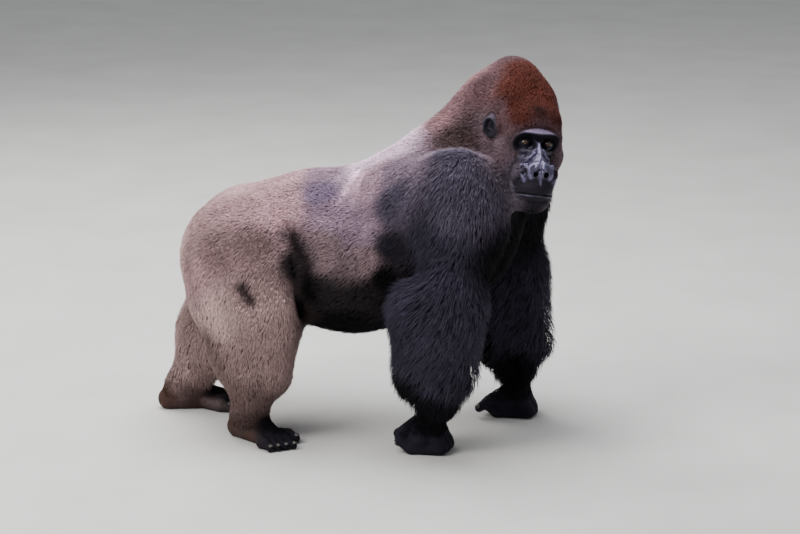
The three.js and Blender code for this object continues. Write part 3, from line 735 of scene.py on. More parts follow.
def body_relief(p):
    """How far the folds of the body stand out."""
    q = mirrored(p)
    out = np.zeros(len(p), np.float32)
    for points, height, width in BODY_FOLDS.values():
        out += height * bell(solid_line_distance(q, points), 0, width)
    return out


# ---- The skin: the outline less the coat's depth, with the finer face, ears, fingers and toes ----

FLESH = animal(moved(face_field(), FACE_FRAME), finger_close=9, toe_close=6)
EARS = [ear_field(1), ear_field(-1)]


def skin_field(p):
    depth = COAT.at(p)[0] * (1 - bareness(p))
    d = FLESH(p) + depth - body_relief(p)
    for ear in EARS:
        d = smooth_min(d, ear(p), 8)
    return np.maximum(d, 0.5 - p[:, 2])


def slope_of(field, p, step):
    d = field(p)
    grad = np.empty_like(p)
    for axis in range(3):
        q = p.copy()
        q[:, axis] += step
        grad[:, axis] = (field(q) - d) / step
    return d, grad


def settled(field, p, cell, turns=3):
    """Walks points onto a surface."""
    for _ in range(turns):
        d, grad = slope_of(field, p, cell * 0.05)
        steep = np.maximum(dots(grad, grad), 0.05)
        move = np.clip(d / steep, -cell * 0.5, cell * 0.5)
        p = p - move[:, None] * grad
    return p


def grid_values(field, axes, cell, step=4):
    """Field values on a grid, worked out only near the surface."""
    coarse = np.stack(np.meshgrid(*[a[::step] for a in axes], indexing="ij"), -1).astype(np.float32)
    shape = coarse.shape[:3]
    far = field(coarse.reshape(-1, 3)).reshape(shape)
    index = [np.minimum((np.arange(len(a)) + step // 2) // step, n - 1) for a, n in zip(axes, shape)]
    values = far[np.ix_(*index)].astype(np.float32)
    near = np.abs(values) < step * cell * 1.25
    where = np.argwhere(near)
    points = np.stack([axes[i][where[:, i]] for i in range(3)], -1).astype(np.float32)
    parts = np.array_split(points, max(1, len(points) // GRID_BATCH))
    values[near] = np.concatenate([field(part) for part in parts])
    return values


def surface(field, low, high, cell):
    """One vertex for each cell that the surface crosses, and one quad for each crossed edge of the grid."""
    count = np.ceil((np.array(high) - low) / (4 * cell)).astype(int) * 4 + 1
    axes = [low[i] + cell * np.arange(count[i]) for i in range(3)]
    values = grid_values(field, axes, cell)
    inside = values < 0
    corners = [(i & 1, (i >> 1) & 1, i >> 2) for i in range(8)]
    cut = [tuple(slice(c, n - 1 + c) for c, n in zip(corner, count)) for corner in corners]
    filled = sum(inside[s].astype(np.int8) for s in cut)
    active = np.argwhere((filled > 0) & (filled < 8))
    d = np.stack([values[s][tuple(active.T)] for s in cut], -1)
    total = np.zeros((len(active), 3), np.float32)
    hits = np.zeros(len(active), np.float32)
    for a in range(8):
        for bit in (1, 2, 4):
            if a & bit:
                continue
            b = a | bit
            crossed = (d[:, a] < 0) != (d[:, b] < 0)
            t = np.where(crossed, d[:, a] / np.where(crossed, d[:, a] - d[:, b], 1), 0)
            point = np.array(corners[a]) + t[:, None] * (np.array(corners[b]) - np.array(corners[a]))
            total += point * crossed[:, None]
            hits += crossed
    points = np.array(low) + (active + total / hits[:, None]) * cell
    index = np.full(count, -1)
    index[tuple(active.T)] = np.arange(len(active))
    quads = []
    for axis in range(3):
        ahead = [slice(None)] * 3
        behind = [slice(None)] * 3
        ahead[axis] = slice(1, None)
        behind[axis] = slice(0, -1)
        change = inside[tuple(ahead)] != inside[tuple(behind)]
        here = np.argwhere(change)
        u, v = np.eye(3, dtype=int)[(axis + 1) % 3], np.eye(3, dtype=int)[(axis + 2) % 3]
        keep = (here[:, (axis + 1) % 3] > 0) & (here[:, (axis + 2) % 3] > 0)
        here = here[keep]
        quad = np.stack([index[tuple((here - shift).T)] for shift in (0 * u, u, u + v, v)], -1)
        flip = ~inside[tuple(here.T)]
        quad[flip] = quad[flip][:, ::-1]
        quads.append(quad)
    return points.astype(np.float32), np.concatenate(quads)


def refined(mesh_points, mesh_faces, levels):
    """Splits the faces near the given places in four, level after level, and settles every new point."""
    mesh = bpy.data.meshes.new("skin")
    mesh.from_pydata(mesh_points.tolist(), [], mesh_faces.tolist())
    form = bmesh.new()
    form.from_mesh(mesh)
    for cell, chosen in levels:
        form.faces.ensure_lookup_table()
        middles = np.array([face.calc_center_median() for face in form.faces], np.float32)
        faces = [form.faces[i] for i in np.flatnonzero(chosen(middles))]
        edges = list({edge for face in faces for edge in face.edges})
        bmesh.ops.subdivide_edges(form, edges=edges, cuts=1, use_grid_fill=True)
        form.verts.ensure_lookup_table()
        points = np.array([vert.co for vert in form.verts], np.float32)
        active = chosen(points)
        points[active] = settled(skin_field, points[active], cell, 3)
        for vert, point in zip(form.verts, points):
            vert.co = point
    bmesh.ops.triangulate(form, faces=form.faces[:])
    form.to_mesh(mesh)
    form.free()
    return mesh


def near_head(p):
    h = head_points(p)
    return (h[:, 0] > -60) & (h[:, 2] > -225) & (h[:, 2] < 90) & (np.abs(h[:, 1]) < 150)


def near_digits(p):
    hands = near_end(p, ARMS, "hand", 170) & (p[:, 2] < 130)
    return hands | (near_end(p, LEGS, "ankle", 250) & (p[:, 2] < 80))


def near_face(p):
    h = head_points(p)
    f = face_points(p)
    face = (f[:, 0] > 84) & (np.abs(f[:, 1]) < 70) & (f[:, 2] > -182) & (f[:, 2] < 50)
    beside = np.abs(np.abs(h[:, 1]) - EAR["aside"]) < 26
    return face | (beside & (np.hypot(h[:, 0] - EAR["forward"], h[:, 2] - EAR["up"]) < 46))


def near_openings(p):
    f = face_points(p)
    aside = np.abs(f[:, 1])
    eyes = np.hypot(aside - EYE["apart"] / 2, f[:, 2]) < 20
    nose = np.hypot(aside - 16, f[:, 2] + 84) < 34
    mouth = line_distance(aside, f[:, 2], FOLDS["mouth"][0]) < 8
    return (f[:, 0] > 95) & (eyes | nose | mouth)


BODY_CELL = 10.0


def make_skin_mesh():
    low, high = np.array([-720.0, -470.0, -30.0]), np.array([740.0, 470.0, 1230.0])
    points, quads = surface(skin_field, low, high, BODY_CELL)
    points = settled(skin_field, points, BODY_CELL)
    levels = [
        (5.0, lambda p: near_head(p) | near_digits(p)),
        (2.5, near_face),
        (1.25, near_openings),
    ]
    return refined(points, quads, levels)


# ---- Meshes from arrays ----


def build(name, points, faces):
    """A mesh object from points in the frame of the joints and triangles."""
    mesh = bpy.data.meshes.new(name)
    mesh.vertices.add(len(points))
    mesh.vertices.foreach_set("co", ((points + OFFSET) * 0.001).astype(np.float32).ravel())
    mesh.loops.add(faces.size)
    mesh.loops.foreach_set("vertex_index", faces.astype(np.int32).ravel())
    mesh.polygons.add(len(faces))
    mesh.polygons.foreach_set("loop_start", np.arange(0, faces.size, faces.shape[1], dtype=np.int32))
    mesh.update(calc_edges=True)
    mesh.polygons.foreach_set("use_smooth", np.ones(len(faces), bool))
    piece = bpy.data.objects.new(name, mesh)
    bpy.context.scene.collection.objects.link(piece)
    return piece


def mark(piece, colours, along):
    """Stores the colour of each vertex, painted light included, with the place along the hair in its fourth
    value.
    """
    data = np.ones((len(colours), 4), np.float32)
    data[:, :3] = colours
    data[:, 3] = along
    piece.data.attributes.new("colour_and_painted_light", "FLOAT_COLOR", "POINT").data.foreach_set("color", data.ravel())


def ripple(p, size, seed):
    """Smooth noise, about -1 to 1, with waves of about a size."""
    rng = np.random.default_rng(seed)
    total = np.zeros(len(p), np.float32)
    for _ in range(5):
        way = rng.normal(size=3)
        way *= 2 * math.pi / (size * rng.uniform(0.7, 1.5) * np.linalg.norm(way))
        total += np.sin(p @ way.astype(np.float32) + rng.uniform(0, 6.28))
    return total / 2.2


# Darker and lighter lines of the coat, painted shade in the groin crease and the thigh dimple, pale streaks
# with a painted sheen on the loin and a painted highlight on the buttock: a line on each side, its half width
# and what it does to the colour.
STREAK_AND_PAINTED_LIGHT_LINES = {
    # Painted shade in the crease between thigh and belly.
    "groin": (((-152, 215, 648), (-132, 228, 618), (-106, 238, 575), (-100, 242, 530), (-100, 240, 480)),
              34, 0.04),
    # Painted shade in the dimple of the thigh.
    "thigh dimple": (((-300, 284, 512), (-271, 292, 476)), 19, 0.08),
    # Pale streaks on the loin, brightened as a painted sheen (this line and the next).
    "loin streak": (((12, 81, 814), (0, 118, 788), (-15, 148, 760), (-24, 168, 742)), 15, 2.0),
    "second streak": (((40, 110, 818), (25, 148, 785), (12, 185, 738)), 13, 1.8),
    # Painted highlight on the rear bulge of the buttock.
    "buttock": (((-470, 90, 620), (-505, 95, 540)), 40, 1.15),
}


def mirrored(p):
    """The points of the right side, folded over to the left one."""
    q = p * np.array([1, 0, 1], np.float32)
    q[:, 1] = np.abs(p[:, 1] + 4)
    return q


def colour_and_painted_light(p, colour):
    """The colour with the random mottling and the lines, streaks, painted shade and painted highlights, that
    skin and coat share.
    """
    shade = 1 + 0.10 * ripple(p, 90, 3) + 0.06 * ripple(p, 30, 4)
    q = mirrored(p)
    for points, width, factor in STREAK_AND_PAINTED_LIGHT_LINES.values():
        shade *= 1 + (factor - 1) * bell(solid_line_distance(q, points), 0, width)
    return colour * shade[:, None]


# Tones of the bare face, with painted highlights and painted shade among them: ovals (aside, up, half width,
# half height) in its frame, their colour and gloss.
FACE_TONES_AND_PAINTED_LIGHT = (
    ((0, -128, 68, 30), (0.0075, 0.0050, 0.0055), 0.25),
    # Painted highlight: a lilac sheen over the nose, brighter on its bridge (this oval and the next).
    ((28, -66, 28, 42), (0.0380, 0.0310, 0.0530), 1.0),
    ((0, -62, 15, 52), (0.0560, 0.0460, 0.0820), 1.0),
    ((40, -22, 22, 10), (0.0420, 0.0340, 0.0480), 0.6),
    # The brow's top: lilac-grey skin with a painted highlight where the light falls on it.
    ((14, 35, 44, 9), (0.2000, 0.1550, 0.2450), 0.3),
    # Painted shade: black under the overhang of the brow, between the brows and in the eye sockets (this oval
    # and the next three).
    ((34, 16, 39, 11), (0.0011, 0.0011, 0.0013), 0.1),
    ((0, 12, 14, 11), (0.0014, 0.0013, 0.0017), 0.1),
    ((60, -4, 16, 24), (0.0022, 0.0019, 0.0021), 0.1),
    ((34, -2, 24, 11), (0.0040, 0.0035, 0.0045), 0.3),
    ((0, -170, 60, 14), (0.0090, 0.0078, 0.0095), 0.2),
    ((0, -188, 60, 12), (0.0220, 0.0200, 0.0250), 0.3),
)
# Lines of painted light on the bare face, painted highlights along the ridges of nose and cheeks, the philtrum,
# the lower lip and the pouch, and painted shade in the mouth: a line in (aside, up), its half width, its colour
# and its gloss.
FACE_PAINTED_LIGHT_LINES = (
    # Painted highlights along the cheek ridge, the nostril's wing, the bridge and the philtrum (these four).
    (((14, -24), (22, -42), (36, -62), (50, -76), (53, -92), (43, -114)), 3.6, (0.120, 0.105, 0.190), 1.0),
    (((14, -62), (26, -64), (37, -76), (37, -92), (29, -106)), 3.2, (0.110, 0.096, 0.170), 1.0),
    (((0, -2), (4, -34), (3, -66), (8, -82)), 3.6, (0.150, 0.135, 0.230), 1.0),
    (((0, -94), (0, -122)), 2.8, (0.110, 0.096, 0.160), 0.8),
    # Painted shade: a black line in the mouth.
    (((0, -153), (40, -152), (66, -150), (72, -156)), 1.6, (0.0006, 0.0006, 0.0008), 0.05),
    # Painted highlights on the lower lip and on the low pouch (this line and the next).
    (((0, -157.5), (30, -156.5), (50, -154)), 1.3, (0.080, 0.072, 0.095), 0.5),
    (((26, -44), (38, -47), (50, -43)), 1.8, (0.090, 0.080, 0.120), 0.7),
)
# The fold inside the ear, lit as a painted highlight, as (forward, up) in the ear's frame.
EAR_FOLD_HIGHLIGHT = ((7, -12), (-5, -6), (-3, 8), (5, 13))


def face_tone_and_painted_light(p):
    """Colour and gloss of bare skin, with painted highlights and painted shade on the face and a painted
    highlight on the ears; hands, feet and ears are duller than the face.
    """
    f = face_points(p)
    aside = np.abs(f[:, 1])
    front = smoothstep(66, 80, f[:, 0])
    tone = np.tile(np.array(SKIN_BLACK, np.float32), (len(p), 1))
    gloss = 0.15 + 0.75 * front
    for (x, y, wide, high), colour, shine in FACE_TONES_AND_PAINTED_LIGHT:
        near = smoothstep(1.2, 0.7, np.hypot((aside - x) / wide, (f[:, 2] - y) / high)) * front
        tone += near[:, None] * (np.array(colour, np.float32) - tone)
        gloss += near * (shine - gloss)
    for points, width, colour, shine in FACE_PAINTED_LIGHT_LINES:
        near = bell(line_distance(aside, f[:, 2], points), 0, width) * smoothstep(84, 96, f[:, 0])
        tone += near[:, None] * (np.array(colour, np.float32) - tone)
        gloss += near * (shine - gloss)
    for side in (1, -1):
        q = in_frame(p, ear_frame(side))
        place = np.hypot(q[:, 0] / EAR["width"], q[:, 2] / EAR["height"]) * 2
        # Painted highlight along the ear's rim, strongest on its upper back edge, and on the inner fold.
        rim = smoothstep(0.80, 0.94, place) * (place < 1.3) * (np.abs(q[:, 1]) < 24)
        rim *= 0.55 + 0.45 * smoothstep(0, 12, q[:, 2] - q[:, 0])
        fold = bell(line_distance(q[:, 0], q[:, 2], EAR_FOLD_HIGHLIGHT), 0, 2.4) * (np.abs(q[:, 1]) < 24)
        rim = np.maximum(rim, 0.7 * fold)
        tone += rim[:, None] * (np.array(EAR_RIM_HIGHLIGHT, np.float32) - tone)
    return tone, gloss


# ---- Tufts: three-sided blades with a root, a ring of three and a tip ----

MOST = 32500  # tufts in one piece
FEWEST = 30  # tufts in one piece
ALL = 244000  # tufts in all
SHORTEST = 5.5  # where the coat is shorter, the skin alone shows
ROOT_DEPTH = 1.2
LOCK_SIZE = 46
RING_ALONG = 0.42
RING_RISE = 0.62


def tuft_roots(points, faces):
    """Random roots over the skin, as many as the size of the tufts asks for."""
    a, b, c = (points[faces[:, i]] for i in range(3))
    cross = np.cross(b - a, c - a)
    area = 0.5 * np.linalg.norm(cross, axis=1)
    middle = (a + b + c) / 3
    _, length, width, _, _, piece = COAT.at(middle)
    layers = np.interp(length, (15, 45, 70), (2.6, 4.0, 5.5)) * (1 - bareness(middle)) * (length > SHORTEST)
    wanted = area * (layers / (0.5 * width * length))
    share = np.ones(len(area))
    for i in range(len(COAT.names)):
        mine = piece == i
        share[mine] = min(1, MOST / max(wanted[mine].sum(), 1))
    share *= min(1, ALL / (wanted * share).sum())
    number = RNG.poisson(wanted * share)
    face = np.repeat(np.arange(len(area)), number)
    u, v = RNG.random(len(face)), RNG.random(len(face))
    over = u + v > 1
    u[over], v[over] = 1 - u[over], 1 - v[over]
    root = a[face] + u[:, None] * (b - a)[face] + v[:, None] * (c - a)[face]
    return root.astype(np.float32), face, u.astype(np.float32), v.astype(np.float32)


def unwrap(p):
    """Angle round the long axis of a piece, and place along it, both from 0 to 1."""
    middle = p.mean(0)
    _, axes = np.linalg.eigh(np.cov((p - middle).T))
    q = (p - middle) @ axes
    turn = np.arctan2(q[:, 0], q[:, 1]) / (2 * math.pi) + 0.5
    uv = np.stack([turn, q[:, 2]], -1)
    low, high = uv.min(0), uv.max(0)
    return 0.004 + 0.992 * (uv - low) / (high - low)


def make_tufts(skin_points, skin_faces, normals):
    root, face, u, v = tuft_roots(skin_points, skin_faces)
    corner = skin_faces[face]
    normal = unit(normals[corner[:, 0]] * (1 - u - v)[:, None] + normals[corner[:, 1]] * u[:, None]
                  + normals[corner[:, 2]] * v[:, None])
    depth, length, width, lie, colour, member = COAT.at(root)
    bare = bareness(root)
    n = len(root)
    # The lie, laid on the skin and gathered into locks.
    lock = np.stack([ripple(root, LOCK_SIZE, seed) for seed in (11, 12, 13)], -1)
    fine = RNG.normal(size=(n, 3)).astype(np.float32)
    lie = unit(lie) + (0.04 + 0.0045 * length)[:, None] * lock * 0.6 + 0.10 * fine
    flow = unit(lie - dots(lie, normal)[:, None] * normal)
    length = length * RNG.uniform(0.7, 1.2, n) * (1 - 0.55 * bare)
    height = np.minimum((depth * (1 - bare) + ROOT_DEPTH) * RNG.uniform(0.55, 1.08, n), 0.8 * length)
    reach = np.sqrt(np.maximum(length ** 2 - height ** 2, 1))
    width = width * RNG.uniform(0.75, 1.25, n)

    def lifted(t, rise):
        """Points along each tuft, kept at their height over the skin."""
        p = root + flow * (reach * t)[:, None] + normal * (height * rise)[:, None]
        for _ in range(2):
            d = skin_field(p)
            p = p + normal * np.clip(height * rise - d, -0.5 * length, 0.5 * length)[:, None]
        return p.astype(np.float32)

    base = root - normal * ROOT_DEPTH
    tip = lifted(1.0, 1.0)
    tip[:, 2] = np.maximum(tip[:, 2], 1.0)
    middle = lifted(RING_ALONG, RING_RISE)
    ahead = unit(tip - base)
    aside = unit(np.cross(ahead, normal))
    above = unit(np.cross(aside, ahead))
    half = aside * (0.5 * width)[:, None]
    points = np.stack([base, middle - half, middle + half, middle + above * (0.28 * width)[:, None], tip], 1)
    spread = np.interp(length, (8, 30, 60), (0.16, 0.12, 0.24))
    shade = (1 + spread * RNG.normal(size=n)).clip(0.45, 1.7).astype(np.float32)
    colour = colour_and_painted_light(root, colour) * shade[:, None]
    return points, colour, member, np.interp(length, (14, 45), (0.22, 1.0)).astype(np.float32)


TUFT_FACES = np.array([(0, 3, 1), (0, 2, 3), (0, 1, 2), (1, 3, 4), (3, 2, 4), (2, 1, 4)])
TUFT_ALONG = np.array([0.0, 0.45, 0.45, 0.5, 1.0], np.float32)
# Each tuft takes a small patch of the map, about the place of its root.
TUFT_PATCH = np.array([(0, -0.0015), (-0.0013, 0), (0.0013, 0), (0, 0.0004), (0, 0.0015)], np.float32)


def make_coat(points, colours, member, contrast, material):
    pieces = []
    per = points.shape[1]
    for i, name in enumerate(COAT.names):
        mine = np.flatnonzero(member == i)
        if len(mine) < FEWEST:
            continue
        mine = mine[:MOST]
        p = points[mine]
        faces = (TUFT_FACES[None] + (np.arange(len(mine)) * per)[:, None, None]).reshape(-1, 3)
        piece = build("coat_" + name, p.reshape(-1, 3), faces)
        along = 1 - (1 - TUFT_ALONG[None]) * contrast[mine][:, None]
        mark(piece, np.repeat(colours[mine], per, 0), along.ravel())
        uv = (unwrap(p[:, 0])[:, None] + TUFT_PATCH[None]).reshape(-1, 2)
        layer = piece.data.uv_layers.new(name="OFBake")
        layer.uv.foreach_set("vector", uv[faces.ravel()].astype(np.float32).ravel())
        piece.data.materials.append(material)
        pieces.append(piece)
    return pieces


# ---- Materials ----


def material(name, **values):
    """A new material, its tree, its shader, and the place on the object that its noises take."""
    made = bpy.data.materials.new(name)
    made.use_nodes = True
    shader = made.node_tree.nodes["Principled BSDF"]
    for socket, value in values.items():
        shader.inputs[socket.replace("_", " ")].default_value = value
    place = node(made.node_tree, "ShaderNodeTexCoord").outputs["Object"]
    return made, made.node_tree, shader, place


def node(tree, kind, settings=None, **inputs):
    """A node with its inputs by name, or by number as i0, i1 and so on, linked or given a value."""
    made = tree.nodes.new(kind)
    for key, value in (settings or {}).items():
        setattr(made, key, value)
    for key, value in inputs.items():
        numbered = key[0] == "i" and key[1:].isdigit()
        socket = made.inputs[int(key[1:]) if numbered else key.replace("_", " ")]
        if isinstance(value, bpy.types.NodeSocket):
            tree.links.new(value, socket)
        else:
            socket.default_value = value
    return made


def ramp(tree, factor, stops):
    made = node(tree, "ShaderNodeValToRGB", Fac=factor)
    elements = made.color_ramp.elements
    while len(elements) < len(stops):
        elements.new(0.5)
    for element, (place, colour) in zip(elements, stops):
        element.position = place
        element.color = (*colour, 1) if len(colour) == 3 else colour
    return made.outputs["Color"]


def times(tree, a, b):
    settings = dict(data_type="RGBA", blend_type="MULTIPLY")
    return node(tree, "ShaderNodeMix", settings, Factor=1.0, i6=a, i7=b).outputs[2]


def maths(tree, operation, **inputs):
    return node(tree, "ShaderNodeMath", dict(operation=operation), **inputs).outputs[0]


def noise(tree, place, scale, detail):
    return node(tree, "ShaderNodeTexNoise", Vector=place, Scale=scale, Detail=detail).outputs["Fac"]


def grey(*stops):
    return [(place, (value, value, value)) for place, value in stops]


def coat_material():
    made, tree, shader, place = material("coat", Roughness=0.66, Specular_IOR_Level=0.12)
    shader.inputs["Specular Tint"].default_value = (0.85, 0.82, 1.0, 1)
    held = node(tree, "ShaderNodeAttribute", dict(attribute_name="colour_and_painted_light"))
    # Darker roots and lighter tips: partly the hair's own colour, partly painted shade among the hairs near the
    # skin.
    shaded_root_to_tip = [(0.0, (0.42, 0.42, 0.44)), (0.6, (1.0, 1.0, 1.0)), (1.0, (1.2, 1.19, 1.18))]
    colour = times(tree, held.outputs["Color"], ramp(tree, held.outputs["Alpha"], shaded_root_to_tip))
    light = ramp(tree, noise(tree, place, 140.0, 3.0), grey((0.35, 0.88), (0.65, 1.12)))
    tree.links.new(times(tree, colour, light), shader.inputs["Base Color"])
    return made


def skin_material():
    made, tree, shader, place = material("skin", Specular_IOR_Level=0.5)
    shader.inputs["Specular Tint"].default_value = (0.74, 0.70, 1.0, 1)
    held = node(tree, "ShaderNodeAttribute", dict(attribute_name="colour_and_painted_light"))
    bare = node(tree, "ShaderNodeAttribute", dict(attribute_name="gloss")).outputs["Fac"]
    grain = noise(tree, place, 110.0, 5.0)
    light = ramp(tree, grain, grey((0.3, 0.75), (0.7, 1.25)))
    tree.links.new(times(tree, held.outputs["Color"], light), shader.inputs["Base Color"])
    rough = node(tree, "ShaderNodeMapRange", i0=bare, i3=0.85, i4=0.20)
    spread = maths(tree, "MULTIPLY_ADD", i0=grain, i1=0.16, i2=rough.outputs[0])
    shine = node(tree, "ShaderNodeMapRange", i0=bare, i3=0.20, i4=1.0)
    tree.links.new(shine.outputs[0], shader.inputs["Specular IOR Level"])
    tree.links.new(spread, shader.inputs["Roughness"])
    creases = node(tree, "ShaderNodeTexVoronoi", dict(feature="DISTANCE_TO_EDGE"), Vector=place, Scale=230.0)
    wrinkles = noise(tree, place, 420.0, 4.0)
    mixed = maths(tree, "MULTIPLY_ADD", i0=creases.outputs["Distance"], i1=1.2, i2=wrinkles)
    bump = node(tree, "ShaderNodeBump", Strength=0.35, Distance=0.0012, Height=mixed)
    tree.links.new(bump.outputs["Normal"], shader.inputs["Normal"])
    return made


def eye_material():
    made, tree, shader, place = material("eye", Roughness=0.06, Specular_IOR_Level=0.6, Coat_Weight=0.6,
                                         Coat_Roughness=0.03)
    parts = node(tree, "ShaderNodeSeparateXYZ", Vector=place)
    across = node(tree, "ShaderNodeCombineXYZ", X=parts.outputs["Y"], Y=parts.outputs["Z"])
    away = node(tree, "ShaderNodeVectorMath", dict(operation="LENGTH"), i0=across.outputs[0]).outputs["Value"]
    turn = maths(tree, "ARCTAN2", i0=parts.outputs["Y"], i1=parts.outputs["Z"])
    strands = node(tree, "ShaderNodeTexNoise", dict(noise_dimensions="1D"), W=turn, Scale=9.0, Detail=3.0)
    ring = ramp(tree, maths(tree, "MULTIPLY", i0=away, i1=80.0), [
        (0.0, (0.002, 0.002, 0.002)), (0.17, (0.002, 0.002, 0.002)), (0.20, (0.13, 0.050, 0.014)),
        (0.36, (0.15, 0.055, 0.015)), (0.43, (0.015, 0.008, 0.006)), (0.50, (0.03, 0.02, 0.016)),
        (1.0, (0.06, 0.04, 0.034)),
    ])
    light = ramp(tree, strands.outputs["Fac"], grey((0.3, 0.6), (0.7, 1.4)))
    tree.links.new(times(tree, ring, light), shader.inputs["Base Color"])
    return made


def speckled(name, scale, detail, dark, light, **values):
    """A material with a noise between two colours."""
    made, tree, shader, place = material(name, **values)
    colour = ramp(tree, noise(tree, place, scale, detail), [(0.3, dark), (0.7, light)])
    tree.links.new(colour, shader.inputs["Base Color"])
    return made


# ---- Eyes and nails ----


def make_eye(side, made):
    """An eye ball with a bulging cornea, looking a little towards the right."""
    bpy.ops.mesh.primitive_uv_sphere_add(segments=48, ring_count=32, radius=EYE["radius"] * 0.001)
    piece = bpy.context.object
    piece.name = "eye_ball_" + ("left" if side == 1 else "right")
    piece.data.name = piece.name
    for vert in piece.data.vertices:
        vert.co = Vector((vert.co.z, vert.co.x, vert.co.y))
        away = math.hypot(vert.co.y, vert.co.z) / (EYE["radius"] * 0.001)
        if vert.co.x > 0 and away < 0.5:
            vert.co.x += 0.0011 * (1 - (away / 0.5) ** 2) ** 2
    for face in piece.data.polygons:
        face.use_smooth = True
    place = Vector(on_face((EYE["forward"], side * EYE["apart"] / 2, EYE["up"]))) + Vector(OFFSET)
    gaze = Matrix.Rotation(math.radians(-4), 4, "Z") @ Matrix.Rotation(math.radians(12), 4, "Y")
    piece.matrix_world = Matrix.Translation(place * 0.001) @ FACE_FRAME.to_3x3().to_4x4() @ gaze
    piece.data.materials.append(made)
    return piece


def nail_form(place, ahead, above, length, width):
    """A curved plate: points and triangles."""
    ahead, above = Vector(ahead).normalized(), Vector(above).normalized()
    aside = above.cross(ahead).normalized()
    above = ahead.cross(aside).normalized()
    points, faces = [], []
    rows, columns = 8, 9
    for level in (1, 0):
        for i in range(rows):
            t = i / (rows - 1)
            for j in range(columns):
                s = 2 * j / (columns - 1) - 1
                round_off = math.sqrt(max(0.0, 1 - (2 * t - 1) ** 4)) * 0.9 + 0.1
                rise = 0.30 * width * (1 - (s * round_off) ** 2) + 0.08 * length * math.sin(math.pi * t)
                rise += 1.3 * level - 2.4
                out = s * round_off * width / 2
                point = Vector(place) + ahead * (t - 0.5) * length + aside * out + above * rise
                points.append(tuple(point))

    def top(i, j):
        return i * columns + j

    low = rows * columns
    for i in range(rows - 1):
        for j in range(columns - 1):
            a, b, c, d = top(i, j), top(i, j + 1), top(i + 1, j + 1), top(i + 1, j)
            faces += [(a, b, c), (a, c, d), (a + low, c + low, b + low), (a + low, d + low, c + low)]
    rim = [top(0, j) for j in range(columns)] + [top(i, columns - 1) for i in range(1, rows)]
    rim += [top(rows - 1, j) for j in range(columns - 2, -1, -1)]
    rim += [top(i, 0) for i in range(rows - 2, 0, -1)]
    for a, b in zip(rim, rim[1:] + rim[:1]):
        faces += [(a, b + low, b), (a, a + low, b + low)]
    return points, faces


def make_nails(made):
    points, faces = [], []

    def add(form):
        faces.extend(tuple(i + len(points) for i in face) for face in form[1])
        points.extend(form[0])

    def on_digit(start, tip, facing, rise, shift, length, width):
        """A nail near the tip of a digit, on the side that faces the given way."""
        ahead = (Vector(tip) - Vector(start)).normalized()
        above = Vector(facing)
        above = (above - ahead * above.dot(ahead)).normalized()
        add(nail_form(Vector(tip) + above * rise + ahead * shift, ahead, above, length, width))

    for leg in LEGS.values():
        at = on_foot(leg["side"], leg["ankle"], leg["toes_out"])
        for _, middle, tip, _, thin in toe_places():
            on_digit(at(*middle), at(*tip), (0, 0, 1), thin - 0.5, 2, thin * 1.15, thin * 1.25)
    for arm in ARMS.values():
        for _, _, rest, tip in finger_places(arm["side"], arm["hand"]):
            on_digit(rest, tip, (-0.5, 0, -0.8), 13, 3, 16, 17)
        on_digit(*thumb_ends(arm["side"], arm["hand"]), (-0.6, -arm["side"] * 0.7, 0.3), 13.2, 0, 15, 16)
    piece = build("nails", np.array(points, np.float32), np.array(faces))
    piece.data.materials.append(made)
    return piece


# ---- The whole ----

LOWEST_FACE = 300  # bare skin over this height is the face and the ears, under it hands and feet


def make_animal():
    mesh = make_skin_mesh()
    points = np.empty(len(mesh.vertices) * 3, np.float32)
    mesh.vertices.foreach_get("co", points)
    points = points.reshape(-1, 3)
    faces = np.empty(len(mesh.polygons) * 3, np.int32)
    mesh.polygons.foreach_get("vertices", faces)
    faces = faces.reshape(-1, 3)
    _, grad = slope_of(skin_field, points, 1.0)
    normals = unit(grad)
    bpy.data.meshes.remove(mesh)
    skin = build("skin", points, faces)
    colour = COAT.at(points)[4]
    bare = bareness(points)
    face = bare * (points[:, 2] > LOWEST_FACE)
    tone, gloss = face_tone_and_painted_light(points)
    colour = colour_and_painted_light(points, colour * 0.95)
    colour += face[:, None] * (tone - colour)
    mark(skin, colour, np.ones(len(points)))
    shine = skin.data.attributes.new("gloss", "FLOAT", "POINT")
    shine.data.foreach_set("value", (bare * gloss).astype(np.float32))
    skin.data.materials.append(skin_material())
    tufts, colours, member, contrast = make_tufts(points, faces, normals)
    coat = make_coat(tufts, colours, member, contrast, coat_material())
    eye_made = eye_material()
    eyes = [make_eye(side, eye_made) for side in (1, -1)]
    nails = make_nails(speckled("nail", 300.0, 3.0, (0.035, 0.030, 0.030), (0.085, 0.070, 0.064),
                                Roughness=0.38, Specular_IOR_Level=0.5))
    return skin, coat, eyes, nails


def declare(skin, coat, eyes, nails):
    flesh = [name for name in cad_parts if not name.startswith("eye_")]
    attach(skin, "root")
    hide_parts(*flesh)
    for piece in coat:
        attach(piece, "root")
    for eye, name in zip(eyes, ("eye_left", "eye_right")):
        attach(eye, "root")
        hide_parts(name)
    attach(nails, "root")


# ---- Floor, light and camera ----

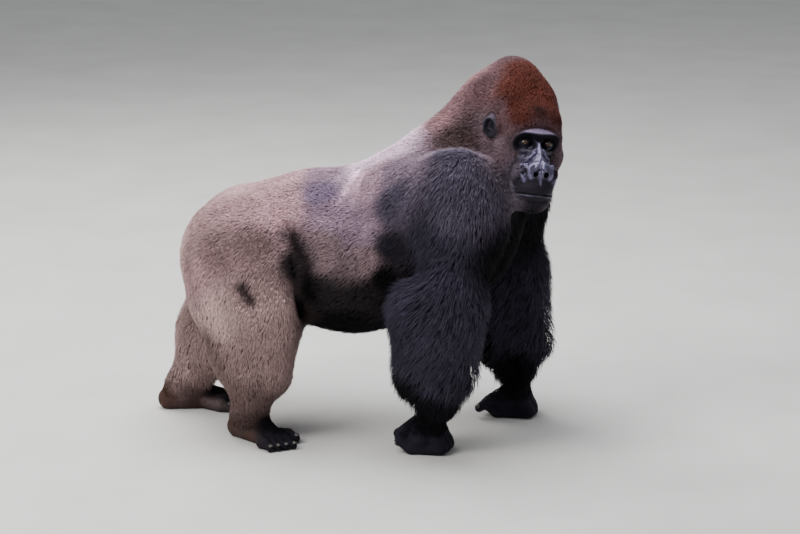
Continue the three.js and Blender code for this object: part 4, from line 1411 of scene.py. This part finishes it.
TARGET = Vector((0.12, 0.0, 0.51)) + Vector(OFFSET) * 0.001
CAMERA = dict(azimuth=10, elevation=14, distance=9.0, pixels_per_metre=330)
SENSOR = 36  # millimetres
PHOTO_WIDTH = 800  # pixels


def make_stage():
    bpy.ops.mesh.primitive_plane_add(size=30)
    floor = bpy.context.object
    floor.name = "floor"
    floor.data.materials.append(
        speckled("floor", 3.0, 6.0, (0.60, 0.59, 0.57), (0.66, 0.65, 0.63), Roughness=0.9))


def make_light(name, place, size, power, colour):
    data = bpy.data.lights.new(name, "AREA")
    data.size = size
    data.energy = power
    data.color = colour
    lamp = bpy.data.objects.new(name, data)
    bpy.context.scene.collection.objects.link(lamp)
    lamp.location = place
    lamp.rotation_euler = (Vector((0, 0, 0.5)) - Vector(place)).to_track_quat("-Z", "Y").to_euler()


def make_lights():
    make_light("sky", (-0.3, 0.4, 5.0), 4.0, 380, (0.97, 0.98, 1.0))
    make_light("key", (-2.6, -3.2, 4.2), 2.4, 230, (1.0, 0.98, 0.96))
    make_light("back", (-2.4, 3.0, 3.4), 2.4, 110, (1.0, 0.97, 0.94))
    world = bpy.data.worlds.new("studio")
    world.use_nodes = True
    world.node_tree.nodes["Background"].inputs["Color"].default_value = (0.80, 0.83, 0.88, 1)
    world.node_tree.nodes["Background"].inputs["Strength"].default_value = 0.38
    bpy.context.scene.world = world


def make_camera():
    turn, rise = math.radians(CAMERA["azimuth"]), math.radians(CAMERA["elevation"])
    away = Vector((math.sin(turn) * math.cos(rise), -math.cos(turn) * math.cos(rise), math.sin(rise)))
    data = bpy.data.cameras.new("camera")
    data.sensor_width = SENSOR
    data.lens = CAMERA["pixels_per_metre"] * CAMERA["distance"] / PHOTO_WIDTH * SENSOR
    data.clip_end = 60
    camera = bpy.data.objects.new("camera", data)
    bpy.context.scene.collection.objects.link(camera)
    camera.location = TARGET + away * CAMERA["distance"]
    camera.rotation_euler = (-away).to_track_quat("-Z", "Y").to_euler()
    bpy.context.scene.camera = camera


declare(*make_animal())
make_stage()
make_lights()
make_camera()
